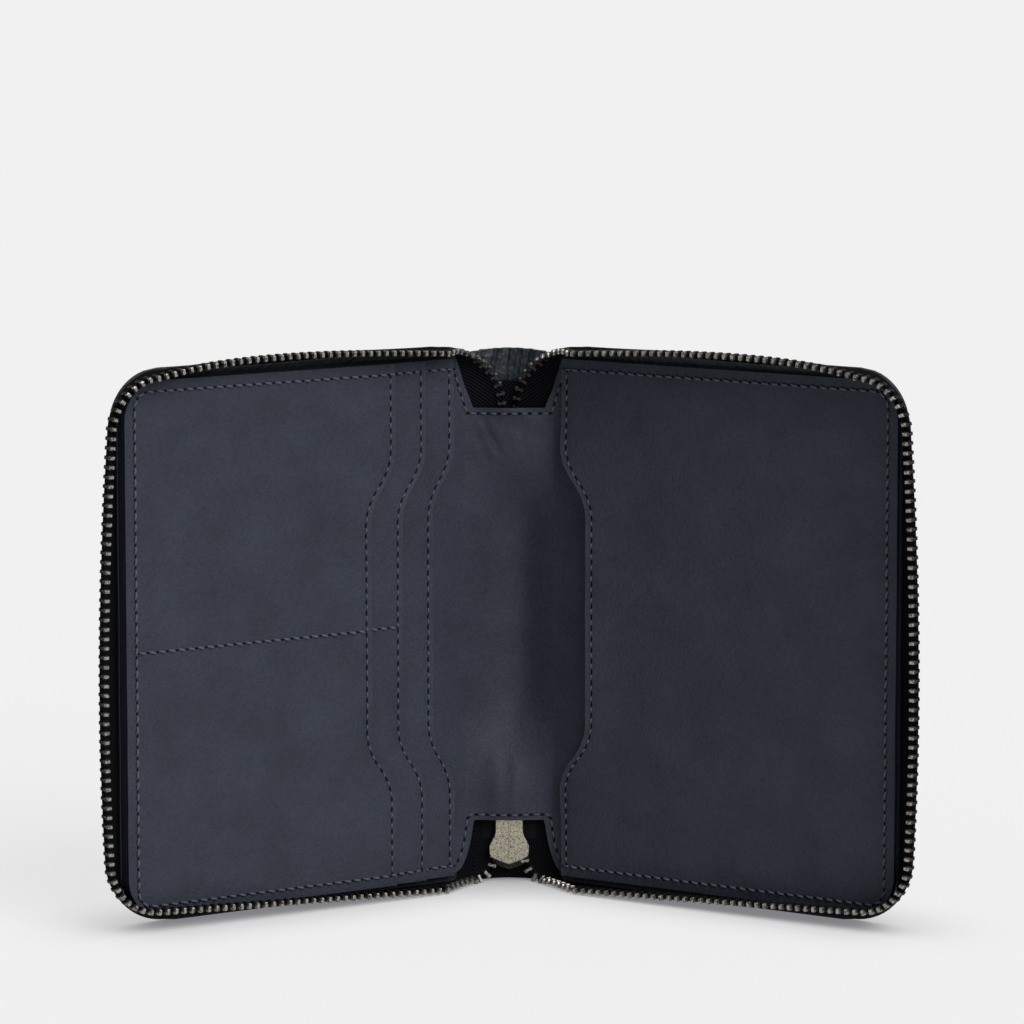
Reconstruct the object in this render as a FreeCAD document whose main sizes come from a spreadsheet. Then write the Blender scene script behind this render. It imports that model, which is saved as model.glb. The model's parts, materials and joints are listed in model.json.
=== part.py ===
import FreeCAD, Part
import math
import os
import Sketcher

# Zip-around passport wallet, standing on its lower edge and open in a V.
# +Z is up, +Y runs from the open mouth to the spine, X runs along the width.
# Each half is drawn flat in a frame of its own (x = distance from the fold,
# y = depth from the middle of the cover leather, z = height) and then turned.

SIZES = [
    ("cover_height", 137.0, "outer cover, bottom edge to top edge"),
    ("cover_width", 101.9, "fold line to the cover's free edge"),
    ("cover_radius", 13.5, "outer corners of the cover"),
    ("leather_thick", 1.4, "cover leather"),
    ("fold_gap", 1.1, "cover half's edge to the fold line"),
    ("fold_half_span", 11.25, "fold lines, either side of the middle"),
    ("fold_depth", 31.29, "fold lines, Y in the part's frame"),
    ("open_angle", 32.8, "each half, from fully flat to the standing pose"),
    ("spine_bulge", 6.5, "rise of the rounded spine above its chord"),
    ("spine_end_gap", 0.8, "spine cover short of the halves at top and bottom"),
    ("spine_edge_gap", 0.4, "spine cover's edge to the fold line"),
    ("board_thick", 0.6, "stiffener board and zip tape"),
    ("board_margin", 12.8, "stiffener board inside the cover edge"),
    ("liner_thick", 1.0, "lining with its backing"),
    ("liner_margin", 1.7, "liner edge inside the cover's free edge"),
    ("liner_foot", 2.3, "liner edge inside the cover's top and bottom"),
    ("liner_radius", 12.0, "outer corners of the liner"),
    ("notch_inner", 1.0, "liner half's spine edge, from the fold line"),
    ("notch_flare", 2.8, "liner half's spine edge at the notch mouth"),
    ("notch_height", 14.0, "depth of the notches at the top and bottom"),
    ("trough_half", 8.3, "half width of the liner strip on the spine"),
    ("trough_setback", 3.2, "liner strip's front face, ahead of the folds"),
    ("trough_thin_sag", 0.2, "hollow of the liner strip over the zip's ends"),
    ("trough_sag", 5.5, "hollow of the liner strip at mid height"),
    ("trough_over_zip", 14.7, "height over which the strip covers the zip's ends"),
    ("trough_run", 17.0, "height over which the strip's hollow deepens"),
    ("sheet_thick", 1.2, "card pocket layer, slot included"),
    ("slot_gap", 0.4, "card slot under each pocket layer"),
    ("slot_border", 5.0, "sewn border round each slot"),
    ("passport_sheet", 1.4, "passport pocket layer, slot included"),
    ("passport_gap", 0.6, "passport slot"),
    ("pocket_side", 2.6, "sewn edge of the pockets inside the cover edge"),
    ("pocket_foot", 4.1, "pockets' edge inside the cover's top and bottom"),
    ("pocket_radius", 11.0, "outer corners of the pockets"),
    ("rear_end", 5.2, "rear card pocket, edge at its ends"),
    ("rear_scoop", 6.4, "rear card pocket, depth of the scoop"),
    ("middle_end", 14.3, "middle card pocket, edge at its ends"),
    ("middle_scoop", 7.0, "middle card pocket, depth of the scoop"),
    ("front_end", 23.9, "front card pocket, edge at its ends"),
    ("front_scoop", 7.2, "front card pocket, depth of the scoop"),
    ("passport_end", 4.6, "passport pocket, edge at its ends"),
    ("passport_scoop", 8.3, "passport pocket, depth of the scoop"),
    ("scoop_start", 24.0, "start of the scoop above the bottom edge"),
    ("scoop_run", 18.5, "height over which the scoop turns in"),
    ("tape_flange", 8.0, "zip tape sewn inside the cover edge"),
    ("tape_inset", 1.0, "zip tape's foot inside the cover edge"),
    ("chain_near", 9.9, "chain's tape edge, depth from the outer face"),
    ("chain_far", 12.7, "chain's tooth tips, depth from the outer face"),
    ("chain_side", 109.55, "chain at mid height, from the fold line"),
    ("chain_side_end", 106.8, "chain where its side meets the corners"),
    ("chain_top", 138.6, "chain's highest point"),
    ("chain_top_end", 135.6, "chain's height at the ends of the top run"),
    ("chain_foot", 3.6, "chain's height half way along the bottom"),
    ("chain_foot_end", 4.8, "chain's height at the lower corner"),
    ("chain_foot_start", 2.0, "chain's height where the bottom run starts"),
    ("chain_radius", 13.5, "chain's corners"),
    ("chain_start", 12.0, "start of the chain's straight runs"),
    ("tooth_count", 134.0, "teeth on each half"),
    ("tooth_width", 0.95, "tooth, along the chain"),
    ("tooth_thick", 1.3, "tooth, across the tape's faces"),
    ("tooth_pitch", 2.3, "teeth of one side, centre to centre"),
    ("chain_depth", 0.4, "chain on the spine, behind the fold lines"),
    ("slider_half", 5.0, "slider's shoulders"),
    ("slider_neck", 3.6, "slider's narrow end"),
    ("slider_tip", 4.7, "slider's lower tip above the ground"),
    ("slider_length", 14.6, "slider, tip to narrow end"),
    ("slider_plate", 0.8, "slider's plates"),
    ("slider_gap", 2.8, "gap between the slider's plates"),
    ("slider_rail", 0.6, "slider's side rails"),
    ("slider_slot", 0.9, "slot between the rails for the tape"),
    ("neck_half", 0.8, "half width of the wedge between the plates"),
    ("end_tape_half", 8.0, "half width of the tape's sewn ends"),
    ("stop_length", 1.6, "zip stops, along the chain"),
    ("joined_count", 7.0, "pairs of joined teeth above the slider's mouth"),
    ("joined_foot", 12.4, "first joined tooth above the ground"),
    ("bail_bar_height", 11.0, "bail's bar above the ground"),
    ("bail_bar_depth", 3.8, "bail's bar, behind the fold lines"),
    ("bail_bar_radius", 0.5, "bail's bar"),
    ("bail_half", 2.3, "bail's posts, outer faces"),
    ("bail_post", 0.8, "bail's posts"),
    ("pull_clearance", 0.08, "pull's eye round the bail's bar"),
    ("pull_eye_radius", 1.05, "pull's rolled eye"),
    ("pull_eye_half", 1.35, "half width of the pull's eye"),
    ("pull_length", 16.0, "pull, from its eye to its end"),
    ("pull_half", 3.2, "half width of the pull"),
    ("pull_thick", 0.8, "pull"),
]

doc = FreeCAD.newDocument("passport_wallet")
sheet = doc.addObject("Spreadsheet::Sheet", "Sizes")
for row, (alias, value, meaning) in enumerate(SIZES, start=1):
    sheet.set(f"A{row}", meaning)
    sheet.set(f"B{row}", str(value))
    sheet.setAlias(f"B{row}", alias)
doc.recompute()


class Size:
    """A length together with the sheet expression that gives it."""

    def __init__(self, value, text):
        self.value = value
        self.text = text

    def __add__(self, other):
        other = as_size(other)
        return Size(self.value + other.value, f"({self.text} + {other.text})")

    def __sub__(self, other):
        other = as_size(other)
        return Size(self.value - other.value, f"({self.text} - {other.text})")

    def __mul__(self, factor):
        return Size(self.value * factor, f"({self.text} * {factor})")


def as_size(value):
    return value if isinstance(value, Size) else Size(value, f"({value})")


def size(alias):
    """A cell of the sheet, as a length that remembers its own name."""
    return Size(float(sheet.get(alias)), f"Sizes.{alias}")


def number(alias):
    return float(sheet.get(alias))


LEFT = 1
RIGHT = -1
SIDES = (("left", LEFT), ("right", RIGHT))
AXIS_DEPTH = size("leather_thick") * 0.5
subparts = []


# ---------------------------------------------------------------- helpers

def plane(body, role):
    return next(item for item in body.Origin.OriginFeatures if item.Role == role)


def new_sketch(body, name, role, offset):
    sketch = body.newObject("Sketcher::SketchObject", name)
    sketch.AttachmentSupport = [(plane(body, role), "")]
    sketch.MapMode = "FlatFace"
    sketch.AttachmentOffset.Base = FreeCAD.Vector(0, 0, offset.value)
    sketch.setExpression("AttachmentOffset.Base.z", offset.text)
    return sketch


def arc_between(start, end, radius, turn):
    """Arc from start to end; turn is +1 to the left and -1 to the right."""
    chord = end - start
    rise = math.sqrt(radius ** 2 - chord.Length ** 2 / 4)
    across = FreeCAD.Vector(-chord.y, chord.x, 0).normalize()
    centre = start + chord * 0.5 + across * rise * turn
    first, last = (start, end) if turn > 0 else (end, start)
    angles = [math.atan2(p.y - centre.y, p.x - centre.x) for p in (first, last)]
    circle = Part.Circle(centre, FreeCAD.Vector(0, 0, 1), radius)
    return Part.ArcOfCircle(circle, angles[0], angles[1])


def pin(sketch, kind, edge, point, length):
    index = sketch.addConstraint(
        Sketcher.Constraint(kind, -1, 1, edge, point, length.value))
    sketch.setExpression(f"Constraints[{index}]", length.text)


def draw_outline(sketch, corners, side=LEFT):
    """Close an outline of corners (x, y) or (x, y, radius, turn to the next)."""
    points = [FreeCAD.Vector(side * c[0].value, c[1].value, 0) for c in corners]
    ends = []
    for index, corner in enumerate(corners):
        start, end = points[index], points[(index + 1) % len(points)]
        if len(corner) == 2:
            sketch.addGeometry(Part.LineSegment(start, end))
            ends.append((1, 2))
            continue
        radius, turn = corner[2], corner[3] * side
        sketch.addGeometry(arc_between(start, end, radius.value, turn))
        ends.append((1, 2) if turn > 0 else (2, 1))
    for index, corner in enumerate(corners):
        following = (index + 1) % len(corners)
        sketch.addConstraint(Sketcher.Constraint(
            "Coincident", index, ends[index][1], following, ends[following][0]))
        pin(sketch, "DistanceX", index, ends[index][0], corner[0] * side)
        pin(sketch, "DistanceY", index, ends[index][0], corner[1])
        if len(corner) == 4:
            pinned = sketch.addConstraint(
                Sketcher.Constraint("Radius", index, corner[2].value))
            sketch.setExpression(f"Constraints[{pinned}]", corner[2].text)


def new_body(label):
    body = doc.addObject("PartDesign::Body", label)
    body.Label = label
    subparts.append(body)
    return body


def pad(body, sketch, length, reverse=True):
    feature = body.newObject("PartDesign::Pad", sketch.Name + "_pad")
    feature.Profile = sketch
    feature.Length = length.value
    feature.setExpression("Length", length.text)
    feature.Reversed = reverse
    sketch.Visibility = False
    return feature


def pocket(body, sketch, length, reverse=False):
    doc.recompute()
    before = body.Shape.Volume
    feature = body.newObject("PartDesign::Pocket", sketch.Name + "_pocket")
    feature.Profile = sketch
    feature.Length = length.value
    feature.setExpression("Length", length.text)
    feature.Reversed = reverse
    doc.recompute()
    if body.Shape.Volume > before - 1e-3:
        raise RuntimeError(f"{body.Label}: the pocket cuts nothing")


def half_placement(side):
    """Where one half stands, open in the V."""
    span, depth = number("fold_half_span"), number("fold_depth")
    turn = FreeCAD.Rotation(FreeCAD.Vector(0, 0, 1), 180 + side * number("open_angle"))
    return FreeCAD.Placement(FreeCAD.Vector(-side * span, depth, 0), turn)


def stand(item, side):
    """Place a half's piece and keep the placement tied to the sheet."""
    item.Placement = half_placement(side)
    item.setExpression("Placement.Base.x", f"Sizes.fold_half_span * {-side}")
    item.setExpression("Placement.Base.y", "Sizes.fold_depth")
    item.setExpression("Placement.Rotation.Angle", f"(180 + Sizes.open_angle * {side}) * 1deg")


def depth_offset(depth):
    """Sketch offset that puts a drawing at a depth from the outer face."""
    return (depth - AXIS_DEPTH) * -1


def layer(label, side, depth, thickness, corners):
    """One flat piece of a half, standing in its place."""
    body = new_body(label)
    sketch = new_sketch(body, label + "_outline", "XZ_Plane", depth_offset(depth))
    draw_outline(sketch, corners, side)
    pad(body, sketch, thickness)
    stand(body, side)
    return body


def add_feature(label, shape):
    feature = doc.addObject("Part::Feature", label)
    feature.Label = label
    feature.Shape = shape
    subparts.append(feature)
    return feature


# ---------------------------------------------------------------- levels

BOARD_LEVEL = size("leather_thick")
LINER_LEVEL = BOARD_LEVEL + size("board_thick")
POCKET_LEVEL = LINER_LEVEL + size("liner_thick")


# ---------------------------------------------------------------- covers

def rounded_panel(near, far, low, high, radius):
    """Panel with round corners on its free edge, listed anticlockwise."""
    return [
        (near, low),
        (far - radius, low, radius, 1),
        (far, low + radius),
        (far, high - radius, radius, 1),
        (far - radius, high),
        (near, high),
    ]


def make_cover_half(name, side):
    corners = rounded_panel(size("fold_gap"), size("cover_width"), as_size(0.0),
                            size("cover_height"), size("cover_radius"))
    layer(f"outer_cover_{name}", side, as_size(0.0), size("leather_thick"), corners)


def make_stiffener(name, side):
    margin = size("board_margin")
    near, far = margin, size("cover_width") - margin
    low, high = margin, size("cover_height") - margin
    corners = [(near, low), (far, low), (far, high), (near, high)]
    layer(f"stiffener_{name}", side, BOARD_LEVEL, size("board_thick"), corners)


def make_cover_spine():
    """Rounded strip between the two folds, drawn from above."""
    span, bulge = number("fold_half_span"), number("spine_bulge")
    radius = (span ** 2 + bulge ** 2) / (2 * bulge)
    centre = FreeCAD.Vector(0, number("fold_depth") + bulge - radius, 0)
    half = math.asin(span / radius) - number("spine_edge_gap") / radius
    thick = number("leather_thick")
    low, high = math.pi / 2 - half, math.pi / 2 + half
    up = FreeCAD.Vector(0, 0, 1)
    outer = Part.ArcOfCircle(Part.Circle(centre, up, radius + thick / 2), low, high).toShape()
    inner = Part.ArcOfCircle(Part.Circle(centre, up, radius - thick / 2), low, high).toShape()
    ends = [Part.LineSegment(outer.Vertexes[i].Point, inner.Vertexes[i].Point).toShape()
            for i in (0, 1)]
    face = Part.Face(Part.Wire(Part.__sortEdges__([outer, ends[1], inner, ends[0]])))
    gap = number("spine_end_gap")
    face.translate(FreeCAD.Vector(0, 0, gap))
    height = number("cover_height") - 2 * gap
    add_feature("outer_cover_spine", face.extrude(FreeCAD.Vector(0, 0, height)))


# ---------------------------------------------------------------- lining

def make_liner_half(name, side):
    near, flare = size("notch_inner"), size("notch_flare")
    far = size("cover_width") - size("liner_margin")
    low = size("liner_foot")
    high = size("cover_height") - low
    notch, radius = size("notch_height"), size("liner_radius")
    corners = [
        (near, low + notch),
        (flare, low),
        (far - radius, low, radius, 1),
        (far, low + radius),
        (far, high - radius, radius, 1),
        (far - radius, high),
        (flare, high),
        (near, high - notch),
    ]
    layer(f"liner_{name}", side, LINER_LEVEL, size("liner_thick"), corners)


def trough_section(height, sag):
    """Outline of the liner strip at a height, hollow by the sag."""
    half, thick = number("trough_half"), number("liner_thick")
    front = number("fold_depth") - number("trough_setback")
    arcs = []
    for face in (front, front + thick):
        ends = [FreeCAD.Vector(x, face, height) for x in (-half, half)]
        arcs.append(Part.Arc(ends[0], FreeCAD.Vector(0, face + sag, height), ends[1]).toShape())
    sides = [Part.LineSegment(arcs[0].Vertexes[i].Point, arcs[1].Vertexes[i].Point).toShape()
             for i in (0, 1)]
    return Part.Wire([arcs[0], sides[1], arcs[1], sides[0]])


def make_liner_spine():
    """Liner strip of the spine: a trough, shallow over the zip's hidden ends."""
    low = number("liner_foot") + number("notch_height")
    over_zip, run = number("trough_over_zip"), number("trough_run")
    stations = [(low, "trough_thin_sag"), (low + over_zip, "trough_thin_sag"),
                (low + over_zip + run, "trough_sag")]
    top = number("cover_height")
    stations += [(top - height, sag) for height, sag in reversed(stations)]
    sections = [trough_section(height, number(sag)) for height, sag in stations]
    add_feature("liner_spine", Part.makeLoft(sections, True, True))


def scooped_panel(end, scoop):
    """Pocket layer whose free edge dips away from the spine in its middle."""
    far = size("cover_width") - size("pocket_side")
    low = size("pocket_foot")
    high = size("cover_height") - low
    corner = size("pocket_radius")
    start, run = size("scoop_start"), size("scoop_run")
    deep = end + scoop
    half_way = end + scoop * 0.5
    bend_value = (run.value ** 2 + scoop.value ** 2) / (4 * scoop.value)
    bend_text = f"(({run.text})^2 + ({scoop.text})^2) / (4 * {scoop.text})"
    bend = Size(bend_value, bend_text)
    upper = size("cover_height") - start
    return [
        (end, low),
        (far - corner, low, corner, 1),
        (far, low + corner),
        (far, high - corner, corner, 1),
        (far - corner, high),
        (end, high),
        (end, upper, bend, 1),
        (half_way, upper - run * 0.5, bend, -1),
        (deep, upper - run),
        (deep, start + run, bend, -1),
        (half_way, start + run * 0.5, bend, 1),
        (end, start),
    ]


def make_pocket(label, side, depth, thickness, gap, end, scoop):
    """Pocket layer with a shallow slot beneath, open at the scooped edge."""
    body = layer(label, side, depth, thickness, scooped_panel(end, scoop))
    border = size("slot_border")
    far = size("cover_width") - size("pocket_side") - border
    low = size("pocket_foot") + border
    high = size("cover_height") - low
    near = end - 1.0
    slot = new_sketch(body, label + "_slot", "XZ_Plane", depth_offset(depth))
    draw_outline(slot, [(near, low), (far, low), (far, high), (near, high)], side)
    pocket(body, slot, gap)
    stand(body, side)


def make_pockets():
    sheet_thick, gap = size("sheet_thick"), size("slot_gap")
    depth = POCKET_LEVEL
    for name in ("rear", "middle", "front"):
        make_pocket(f"card_pocket_{name}", LEFT, depth, sheet_thick, gap,
                    size(f"{name}_end"), size(f"{name}_scoop"))
        depth = depth + sheet_thick
    make_pocket("passport_pocket", RIGHT, POCKET_LEVEL, size("passport_sheet"),
                size("passport_gap"), size("passport_end"), size("passport_scoop"))


# ---------------------------------------------------------------- zip

def flat_run(points, depth):
    """Open U of edges in a half's frame: lines and arcs by turns."""
    placed = [FreeCAD.Vector(x, depth, z) for x, z in points]
    edges = []
    for first in range(0, len(placed) - 2, 2):
        start, via, end = placed[first:first + 3]
        edges.append(Part.Arc(start, via, end).toShape())
    return Part.Wire(edges)


def corner_via(start, end, radius, inward):
    """Middle point of a round corner between two ends of the run."""
    middle_point = ((start[0] + end[0]) / 2, (start[1] + end[1]) / 2)
    half = math.dist(start, end) / 2
    rise = radius - math.sqrt(max(radius ** 2 - half ** 2, 0))
    length = math.hypot(*inward)
    return (middle_point[0] + inward[0] / length * rise,
            middle_point[1] + inward[1] / length * rise)


def chain_points(grow=0.0):
    """The chain's run round the free edges, bowed as the tape splays."""
    start, radius = number("chain_start"), number("chain_radius")
    far, far_end = number("chain_side") + grow, number("chain_side_end") + grow
    top, top_end = number("chain_top") + grow, number("chain_top_end") + grow
    foot = number("chain_foot") - grow
    foot_end = number("chain_foot_end") - grow
    foot_start = number("chain_foot_start") - grow
    middle_x = (start + far) / 2
    upper_in, upper_out = (far_end - radius, top_end), (far_end, top_end - radius)
    lower_out, lower_in = (far_end, foot_end + radius), (far_end - radius, foot_end)
    reach = radius + grow
    return [
        (start, top_end - 0.2),
        (middle_x, top),
        upper_in,
        corner_via(upper_in, upper_out, reach, (1, 1)),
        upper_out,
        (far, number("cover_height") / 2),
        lower_out,
        corner_via(lower_out, lower_in, reach, (1, -1)),
        lower_in,
        (middle_x, foot),
        (start, foot_start),
    ]


def foot_points(grow=0.0):
    """Where the tape leaves the cover's edge, the same run without the bow."""
    inset = number("tape_inset") - grow
    start, radius = number("chain_start"), number("cover_radius") - number("tape_inset")
    far = number("cover_width") - inset
    low, high = inset, number("cover_height") - inset
    reach = radius
    bow = 0.01
    middle_x = (start + far) / 2
    upper_in, upper_out = (far - reach, high), (far, high - reach)
    lower_out, lower_in = (far, low + reach), (far - reach, low)
    return [
        (start, high),
        (middle_x, high + bow),
        upper_in,
        corner_via(upper_in, upper_out, reach, (1, 1)),
        upper_out,
        (far + bow, number("cover_height") / 2),
        lower_out,
        corner_via(lower_out, lower_in, reach, (1, -1)),
        lower_in,
        (middle_x, low - bow),
        (start, low),
    ]


def band(points_of, inner, outer, depth):
    """Closed strip between two runs of the same shape."""
    first = flat_run(points_of(inner), depth)
    second = flat_run(points_of(outer), depth)
    ends = []
    for index in (0, -1):
        ends.append(Part.LineSegment(first.OrderedVertexes[index].Point,
                                     second.OrderedVertexes[index].Point).toShape())
    return Part.Wire(first.Edges + [ends[1]] + second.Edges[::-1] + [ends[0]])


def mirror_if(shape, side):
    if side == LEFT:
        return shape
    return shape.mirror(FreeCAD.Vector(0, 0, 0), FreeCAD.Vector(1, 0, 0))


def make_zip_tape(name, side):
    """Sewn flange and the wall that rises from it to the teeth."""
    thick = number("board_thick")
    axis = number("leather_thick") / 2
    flange_low = number("leather_thick") - axis
    wall_foot = flange_low + thick
    wall_top = number("chain_near") - axis
    flange_wire = band(foot_points, 0.0, -number("tape_flange"), flange_low)
    flange = Part.Face(flange_wire).extrude(FreeCAD.Vector(0, thick, 0))
    wall = Part.makeLoft([band(foot_points, 0.0, -thick, wall_foot),
                          band(chain_points, thick / 2, -thick / 2, wall_top)], True, True)
    tape = flange.fuse(wall)
    feature = add_feature(f"zip_tape_{name}", mirror_if(tape.Solids[0], side))
    stand(feature, side)


def tooth(centre, along, inward):
    """One tooth: a block lying across the chain."""
    width, thick = number("tooth_width"), number("tooth_thick")
    reach = number("chain_far") - number("chain_near")
    block = Part.makeBox(width, reach, thick, FreeCAD.Vector(-width / 2, 0, -thick / 2))
    across = along.cross(inward).normalize()
    turn = FreeCAD.Matrix(along.x, inward.x, across.x, centre.x,
                          along.y, inward.y, across.y, centre.y,
                          along.z, inward.z, across.z, centre.z, 0, 0, 0, 1)
    return block.transformed(turn)


def make_zip_teeth(name, side):
    """Teeth of one half, half a pitch apart from the other half's."""
    count = int(number("tooth_count"))
    near = number("chain_near") - number("leather_thick") / 2
    run = flat_run(chain_points(), near)
    phase = 1 if side == LEFT else 3
    stations = run.discretize(Number=4 * count + 1)
    teeth = []
    for index in range(count):
        at = 4 * index + phase
        along = (stations[at + 1] - stations[at - 1]).normalize()
        teeth.append(tooth(stations[at], along, FreeCAD.Vector(0, 1, 0)))
    feature = add_feature(f"zip_teeth_{name}", mirror_if(Part.makeCompound(teeth), side))
    stand(feature, side)


def curve_through(points):
    curve = Part.BSplineCurve()
    curve.interpolate([FreeCAD.Vector(*p) for p in points])
    return curve


def world_point(side, across, depth, height):
    """A point of a half's frame, in the part's frame."""
    local = FreeCAD.Vector(side * across, depth - number("leather_thick") / 2, height)
    return half_placement(side).multVec(local)


def chain_end_points(side, top):
    """Tape edge of the chain from the end of its run to the spine."""
    start = chain_points()[0 if top else -1]
    near = world_point(side, start[0], number("chain_near"), start[1])
    fold, chain = number("fold_depth"), number("fold_depth") + number("chain_depth")
    height = number("cover_height")
    if top:
        rest = [(12.9, fold - 7.7, height - 1.8), (8.9, fold - 3.0, height - 4.1),
                (5.8, fold - 0.8, height - 6.9), (4.4, fold + 0.2, height - 9.4),
                (4.0, chain, height - 12.5), (4.0, chain, height - 17.5)]
    else:
        rest = [(12.7, fold - 7.9, 2.1), (9.1, fold - 2.3, 2.3), (7.3, fold - 0.7, 2.9),
                (6.0, fold + 0.2, 4.3), (5.1, chain, 6.9), (4.2, chain, 9.6)]
    return [(near.x, near.y, near.z)] + [(-side * x, y, z) for x, y, z in rest]


def sewn_edge_points(side, top):
    """The gusset's sewn edge, from the flange to the spine behind the liner."""
    fold, chain = number("fold_depth"), number("fold_depth") + number("chain_depth")
    height = number("cover_height")
    start = foot_points()[0 if top else -1]
    near = world_point(side, start[0], number("leather_thick") + number("board_thick"), start[1])
    if top:
        rest = [(13.4, fold - 2.8, height - 1.2), (10.4, fold - 1.0, height - 4.4),
                (8.6, fold + 0.5, height - 9.5), (8.2, fold + 0.8, height - 17.5)]
    else:
        rest = [(13.4, fold - 2.8, 1.2), (10.4, fold - 1.0, 2.0),
                (8.7, fold + 0.3, 4.4), (8.3, chain, 9.6)]
    return [(near.x, near.y, near.z)] + [(-side * x, y, z) for x, y, z in rest]


def make_gusset(name, side):
    """Soft tape that turns from the wall of one half down into the notches."""
    pieces = []
    for top in (True, False):
        chain_edge = curve_through(chain_end_points(side, top)).toShape()
        sewn_edge = curve_through(sewn_edge_points(side, top)).toShape()
        surface = Part.makeRuledSurface(chain_edge, sewn_edge)
        lift = 0.3 if top else -0.1
        pieces.append(surface.extrude(FreeCAD.Vector(0, 0.3, lift)))
    add_feature(f"zip_gusset_{name}", Part.makeCompound(pieces))


def make_bend_teeth(name, side):
    """Teeth on the gussets, following the chain's turn into the notches."""
    pitch = number("tooth_pitch")
    teeth = []
    for top in (True, False):
        points = chain_end_points(side, top)
        edge = curve_through(points).toShape()
        sewn = curve_through(sewn_edge_points(side, top)).toShape()
        count = int(edge.Length / pitch)
        stations = edge.discretize(Number=2 * count + 1)
        backing = sewn.discretize(Number=2 * count + 1)
        for index in range(count):
            at = 2 * index + 1
            along = (stations[at + 1] - stations[at - 1]).normalize()
            inward = stations[at] - backing[at]
            inward = (inward - along * inward.dot(along)).normalize()
            teeth.append(tooth(stations[at] + inward * 0.3, along, inward))
    add_feature(f"zip_bend_teeth_{name}", Part.makeCompound(teeth))


# ---------------------------------------------------------------- zip ends

CHAIN_MID = size("fold_depth") + size("chain_depth")


def bound_box(label, low, high):
    """Box between two corners, tied to the sheet."""
    block = doc.addObject("Part::Box", label)
    for prop, start, end in zip(("Length", "Width", "Height"), low, high):
        block.setExpression(prop, (end - start).text)
    for axis, start in zip("xyz", low):
        block.setExpression(f"Placement.Base.{axis}", start.text)
    return block


def bound_bar(label, radius, centre_depth, centre_height, half):
    """Round bar along X, tied to the sheet."""
    bar = doc.addObject("Part::Cylinder", label)
    bar.Placement.Rotation = FreeCAD.Rotation(FreeCAD.Vector(0, 1, 0), 90)
    bar.setExpression("Radius", radius.text)
    bar.setExpression("Height", (half * 2).text)
    bar.setExpression("Placement.Base.x", (half * -1).text)
    bar.setExpression("Placement.Base.y", centre_depth.text)
    bar.setExpression("Placement.Base.z", centre_height.text)
    return bar


def fused(label, members):
    """Several primitives as one sub-part."""
    whole = doc.addObject("Part::MultiFuse", label)
    whole.Label = label
    whole.Shapes = members
    subparts.append(whole)
    return whole


def grouped(label, members):
    """Like pieces kept together as separate solids."""
    group = doc.addObject("Part::Compound", label)
    group.Label = label
    group.Links = members
    subparts.append(group)
    return group


def make_joined_teeth():
    """The short joined length of chain above the slider's mouth."""
    half_reach = (size("chain_far") - size("chain_near")) - 0.7
    overlap = as_size(0.7)
    half_thick, pitch = size("tooth_thick") * 0.5, size("tooth_pitch")
    teeth = []
    for index in range(int(number("joined_count"))):
        for side in (LEFT, RIGHT):
            low = size("joined_foot") + pitch * (index + (0.5 if side == RIGHT else 0.0))
            near, far = (half_reach * -1, overlap) if side == LEFT else (overlap * -1, half_reach)
            teeth.append(bound_box(f"joined_tooth_{len(teeth)}",
                                   (near, CHAIN_MID - half_thick, low),
                                   (far, CHAIN_MID + half_thick, low + size("tooth_width"))))
    grouped("zip_joined_teeth", teeth)


def make_end_tapes():
    """The tape's ends, sewn behind the liner strip above and below."""
    half, thick = size("end_tape_half"), size("board_thick") * 0.5
    inner = (size("chain_far") - size("chain_near")) - 0.6
    foot = size("joined_foot") - 1.4
    top = foot + size("tooth_pitch") * (size("joined_count").value + 1)
    strips = [bound_box(f"lower_strip_{name}",
                        (low, CHAIN_MID - thick, foot), (high, CHAIN_MID + thick, top))
              for name, low, high in (("left", half * -1, inner * -1), ("right", inner, half))]
    grouped("zip_tape_end_lower", strips)
    upper = size("cover_height") - 18.0
    strip = bound_box("zip_tape_end_upper", (half * -1, CHAIN_MID - thick, upper - 10.0),
                      (half, CHAIN_MID + thick, upper))
    strip.Label = "zip_tape_end_upper"
    subparts.append(strip)


def make_stops():
    """Bottom stop over the joined teeth, and the two stops at the upper ends."""
    thick, length = size("tooth_thick") * 0.6, size("stop_length")
    foot = size("joined_foot") + size("tooth_pitch") * (size("joined_count").value + 0.4)
    stop = bound_box("zip_bottom_stop", (as_size(-2.6), CHAIN_MID - thick, foot),
                     (as_size(2.6), CHAIN_MID + thick, foot + length))
    stop.Label = "zip_bottom_stop"
    subparts.append(stop)
    head = size("cover_height") - 18.2
    stops = [bound_box(f"top_stop_{name}", (as_size(low), CHAIN_MID - thick * 2, head - length),
                       (as_size(low + 2.2), CHAIN_MID - size("board_thick") * 0.5, head))
             for name, low in (("left", -3.2), ("right", 1.0))]
    grouped("zip_top_stops", stops)


def slider_outline():
    """Slider plate: round narrow end above, pointed shoulders below."""
    tip, wide, narrow = size("slider_tip"), size("slider_half"), size("slider_neck")
    top = tip + size("slider_length")
    corner = as_size(1.5)
    right = [(wide, tip + 2.6), (wide, tip + 5.3), (narrow, tip + 8.0)]
    left = [(x * -1, z) for x, z in reversed(right)]
    return ([(as_size(0.0), tip)] + right
            + [(narrow, top - corner, corner, 1), (narrow - corner, top),
               ((narrow - corner) * -1, top, corner, 1), (narrow * -1, top - corner)]
            + left)


def slider_pad(body, name, depth, thickness, corners):
    sketch = new_sketch(body, name, "XZ_Plane", depth * -1)
    draw_outline(sketch, corners)
    pad(body, sketch, thickness)


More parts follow.
